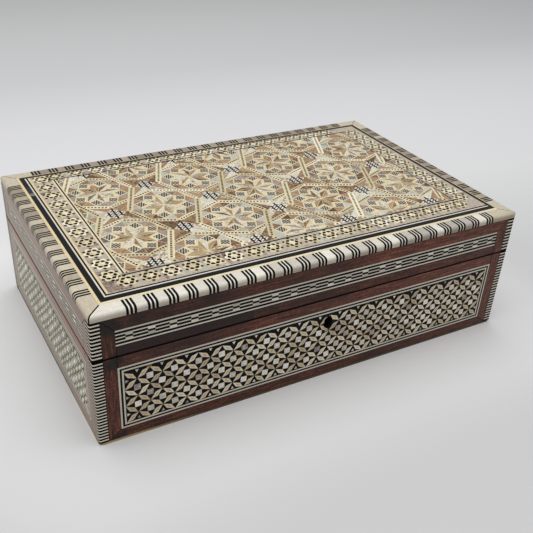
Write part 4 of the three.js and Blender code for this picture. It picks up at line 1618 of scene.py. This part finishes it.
@dataclass
class TopBorder:
    """The four border sheets: edge lines, rosettes and the line next to the field."""

    lines: tuple[tuple[float, float, Finishes], ...] = (
        (1.5, 0.5, Finishes.LEMONWOOD), (2.9, 2.0, Finishes.EBONY_POLISHED), (0.8, 0.0, Finishes.BONE_WHITE),
        (0.95, 0.0, Finishes.EBONY_INLAY), (1.1, 0.0, Finishes.LEMONWOOD))
    front_grown: float = 1.12
    left_grown: float = 0.98
    inner_lines: tuple[tuple[float, Finishes], ...] = (
        (0.85, Finishes.HOLLY), (0.85, Finishes.EBONY_INLAY), (0.8, Finishes.HOLLY))
    right_line: float = 0.6
    front_line: Point = (-1.9, -1.0)
    back_line: Point = (0.0, 0.8)
    rows: tuple[Row, ...] = (
        Row((25.8, 21.6), (11.1, 0), 19), Row((28.5, 147.2), (12.55, 0), 17, 0.055, (0.95, 0.86)),
        Row((20.0, 29.0), (0, 11.7), 11), Row((233.0, 28.6), (0, 9.23), 13, 0.0, (0.97, 0.84)))
    corner_start: Point = (7.0, 7.6)
    corner_legs: Point = (12.5, 10.0)
    repair: tuple[tuple[float, float, Finishes], ...] = (
        (126.0, 129.5, Finishes.FILLER), (129.5, 137.5, Finishes.EBONY_WORN))

    def build(self, rng: random.Random) -> None:
        """Lays the whole border on one sheet, then cuts it into the four that are built."""
        boxes = {side: node_box(f"top_band_{side.word}") for side in Side}
        outer = top_rect(boxes[Side.FRONT][0], boxes[Side.BACK][1])
        whole = Sheet("border", "top_field", TOP, outer)
        for row in self.rows:
            RosetteBorder().lay_row(whole, row, rng)
        x, y = outer[0] + self.corner_start[0], outer[2] + self.corner_start[1]
        corner = [(x, y), (x + self.corner_legs[0], y), (x, y + self.corner_legs[1])]
        whole.tiles.append(Tile(corner, Finishes.MAUVE, 2, 0.3))
        self.edge_ring(whole)
        start = outer[0] + self.lines[0][0]
        end = start + self.lines[1][0] - FLUSH
        for low, high, finish in self.repair:
            whole.tiles.append(Tile(rectangle(start, end, low, high), finish, 6))
        self.field_ring(whole, top_rect(*node_box("top_field")))
        for side in Side:
            sheet = Sheet(f"{side.word}_rosettes", f"top_band_{side.word}", TOP, top_rect(*boxes[side]))
            sheet.cover(Finishes.BORDER_GROUND)
            sheet.lay(whole.tiles)
            sheet.build("lid", "rosette_marquetry")

    def edge_ring(self, ring: Sheet) -> None:
        """Lays the lines next to the bone, each with its width at the front and left, then elsewhere."""
        outer = ring.rect
        for number, (width, slim, finish) in enumerate(self.lines):
            inner = (outer[0] + width * self.left_grown, outer[1] - slim,
                     outer[2] + width * self.front_grown, outer[3] - slim)
            front, back, left, right = mitred(outer, inner)
            for quad, turn in ((front, 0.0), (left, math.pi / 2), (back, 0.0), (right, math.pi / 2)):
                if quad is front and number == len(self.lines) - 1:
                    continue
                laid = Finishes.HOLLY if quad is front and number == 0 else finish
                ring.tiles.append(Tile(quad, laid, 5, 0.55, turn))
            outer = inner

    def field_ring(self, ring: Sheet, inner: Rect) -> None:
        """Lays the lines next to the field: three at the left, a brown one at the right, black elsewhere."""
        x0, x1, y0, y1 = inner
        wide = sum(width for width, _ in self.inner_lines)
        here = x0 - wide
        for width, finish in self.inner_lines:
            ring.tiles.append(Tile(rectangle(here, here + width, y0, y1), finish, 5, 0.6, math.pi / 2))
            here += width
        brown = rectangle(x1, x1 + self.right_line, y0, y1)
        ring.tiles.append(Tile(brown, Finishes.STAIN, 5, 0.3, math.pi / 2))
        for edge, (start, end) in ((y0, self.front_line), (y1, self.back_line)):
            line = rectangle(x0 - wide, x1 + wide, edge + start, edge + end)
            ring.tiles.append(Tile(line, Finishes.EBONY_INLAY, 5, 0.8))


@dataclass
class Hardware:
    """The CAD nodes that keep their own shape and get a finish: boards, lock and hinges."""

    finishes: dict[str, Finishes] = field(default_factory=lambda: {
        "base_board": Finishes.BASSWOOD, "lock_case": Finishes.BRASS_KEYHOLE_SHADE,
        "lid_top_board": Finishes.MAHOGANY, "lock_catch": Finishes.BRASS,
        "hinge_left_lower": Finishes.BRASS, "hinge_left_upper": Finishes.BRASS,
        "hinge_right_lower": Finishes.BRASS, "hinge_right_upper": Finishes.BRASS})

    def build(self) -> None:
        """Gives every node that stays its finish."""
        for node, finish in self.finishes.items():
            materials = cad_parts[node].data.materials
            materials.clear()
            materials.append(finish.material())
            LOG.info("%s: keeps its shape, in %s", node, finish.value.name)


@dataclass
class Studio:
    """The pale floor with its painted fall-off of light, the soft lights and the camera at the photograph's
    angle.
    """

    camera_mm: Triple = (-197.1, -345.6, 262.0)
    target_mm: Triple = (-17.2, -38.8, 30.0)
    roll_degrees: float = -3.05
    focal_pixels: float = 761.0
    image_pixels: float = 533.0
    middle_pixel: Point = (258.0, 300.0)
    sensor_mm: float = 36.0
    lights: tuple[tuple[str, Triple, float, float], ...] = (
        ("overhead", (0.0, 0.02, 1.25), 1.2, 10.7), ("side", (-1.2, 0.1, 0.8), 0.9, 2.8))
    aim: Triple = (0.0, 0.0, 0.04)
    sky: str = "#e3e4e6"
    sky_strength: float = 0.52
    floor_reach: float = 6.0
    floor_roughness: float = 0.9
    # The floor's painted fall-off of light, and its painted lightening near the box
    fall_off_direction: Triple = (0.05, 1.0, 0.0)
    painted_fall_off: tuple[tuple[float, str], ...] = (
        (-0.3, "#d3d2d2"), (-0.17, "#d0d0d0"), (0.0, "#d3d3d3"), (0.12, "#e2e2e2"), (0.24, "#e2e2e3"),
        (0.34, "#dfdfe0"), (0.48, "#d3d3d4"), (0.66, "#d1d1d1"), (0.9, "#cacac9"), (1.15, "#c2c2bf"))
    painted_light_reach_mm: float = 90.0
    lift: float = 0.42

    def camera(self) -> None:
        """Places the camera as fitted to the photograph's corners."""
        centre = Vector(self.camera_mm)
        back = (centre - Vector(self.target_mm)).normalized()
        right = Z_AXIS.cross(back).normalized()
        up = back.cross(right)
        basis = Matrix((right, up, back)).transposed()
        data = bpy.data.cameras.new("camera")
        data.sensor_width = self.sensor_mm
        data.lens = self.sensor_mm * self.focal_pixels / self.image_pixels
        half = self.image_pixels / 2
        data.shift_x = (half - self.middle_pixel[0]) / self.image_pixels
        data.shift_y = (self.middle_pixel[1] - half) / self.image_pixels
        data.clip_start = 0.01
        view = linked("camera", data)
        roll = Matrix.Rotation(math.radians(-self.roll_degrees), 3, "Z")
        view.matrix_world = Matrix.Translation(centre * MM) @ (basis @ roll).to_4x4()
        bpy.context.scene.camera = view

    def light(self, name: str, place: Triple, size: float, watts: float) -> None:
        """Adds a soft square light that looks at the box."""
        data = bpy.data.lights.new(name, "AREA")
        data.size = size
        data.energy = watts
        turned = (Vector(place) - Vector(self.aim)).to_track_quat("Z", "Y").to_matrix().to_4x4()
        linked(name, data).matrix_world = Matrix.Translation(Vector(place)) @ turned

    def paper(self) -> bpy.types.Material:
        """The floor's white paper, whose grey runs with the distance behind the box as painted light
        fall-off, and which is painted lighter near the box against the box's shadow.

        Returns:
            The material.
        """
        made = bpy.data.materials.new("paper, matt white")
        made.use_nodes = True
        tree = made.node_tree
        shader = tree.nodes["Principled BSDF"]
        shader.inputs["Roughness"].default_value = self.floor_roughness
        place = own_place(tree)
        first, last = self.painted_fall_off[0][0], self.painted_fall_off[-1][0]
        # Painted shade: the paper's grey follows the distance behind the box, as the light falls off
        behind = vectors(tree, "DOT_PRODUCT", place, self.fall_off_direction)
        share = ranged(tree, behind, (first, 0.0), (last, 1.0))
        ramp = add_node(tree, "ShaderNodeValToRGB", inputs={"Fac": share})
        ramp_stops(ramp, [((at - first) / (last - first), colour) for at, colour in self.painted_fall_off])
        corner = (LENGTH / 2 * MM, DEPTH / 2 * MM, 0)
        past = vectors(tree, "SUBTRACT", vectors(tree, "ABSOLUTE", place), corner)
        away = vectors(tree, "LENGTH", vectors(tree, "MAXIMUM", past, (0, 0, 0)))
        # Painted light: the paper is lightened near the box, against the shadow the box casts
        near = ranged(tree, away, (0.0, self.lift), (self.painted_light_reach_mm * MM, 0.0), "SMOOTHSTEP")
        colour = blended(tree, near, ramp.outputs["Color"], linear("#ffffff"))
        tree.links.new(colour, shader.inputs["Base Color"])
        return made

    def floor(self) -> None:
        """Lays the pale floor."""
        mesh = bpy.data.meshes.new("floor")
        reach = self.floor_reach
        corners = [(x, y, 0.0) for x, y in rectangle(-reach, reach, -reach, reach)]
        mesh.from_pydata(corners, [], [(0, 1, 2, 3)])
        mesh.materials.append(self.paper())
        linked("floor", mesh)

    def build(self) -> None:
        """Sets up the whole studio."""
        self.camera()
        self.floor()
        world = bpy.data.worlds.new("studio")
        world.use_nodes = True
        background = world.node_tree.nodes["Background"]
        background.inputs["Color"].default_value = linear(self.sky)
        background.inputs["Strength"].default_value = self.sky_strength
        bpy.context.scene.world = world
        for name, place, size, watts in self.lights:
            self.light(name, place, size, watts)
        bpy.context.scene.view_settings.view_transform = "Standard"


def keyhole_pieces() -> list[Outline]:
    """The keyhole as triangles on the front's sheet, with the worn oval outline that the solid has."""
    rim = []
    for index, share in enumerate(KEYHOLE_SHARES):
        angle = 2 * math.pi * index / len(KEYHOLE_SHARES)
        rim.append((KEYHOLE_MIDDLE[0] + KEYHOLE_HALF[0] * share * math.cos(angle),
                    KEYHOLE_MIDDLE[1] + KEYHOLE_HALF[1] * share * math.sin(angle)))
    return [[KEYHOLE_MIDDLE, a, b] for a, b in zip(rim, rim[1:] + rim[:1])]


def main() -> None:
    """Builds the box's pieces in order."""
    logging.basicConfig(level=logging.INFO, format="%(message)s")
    rng = random.Random(SEED)
    Studio().build()
    Hardware().build()
    for side in Side:
        holes = keyhole_pieces() if side is Side.FRONT else []
        SideMosaic().build(side, holes, rng)
        LidStrip().build(side, rng)
        for body in ("box", "lid"):
            Walls().build(side, body)
        BoneEdge().build(side, rng)
    for index in range(1, 5):
        for body in ("box", "lid"):
            CornerEdgings().build(index, body)
    StarField().build(rng)
    TopBorder().build(rng)


if __name__ == "__main__":
    main()
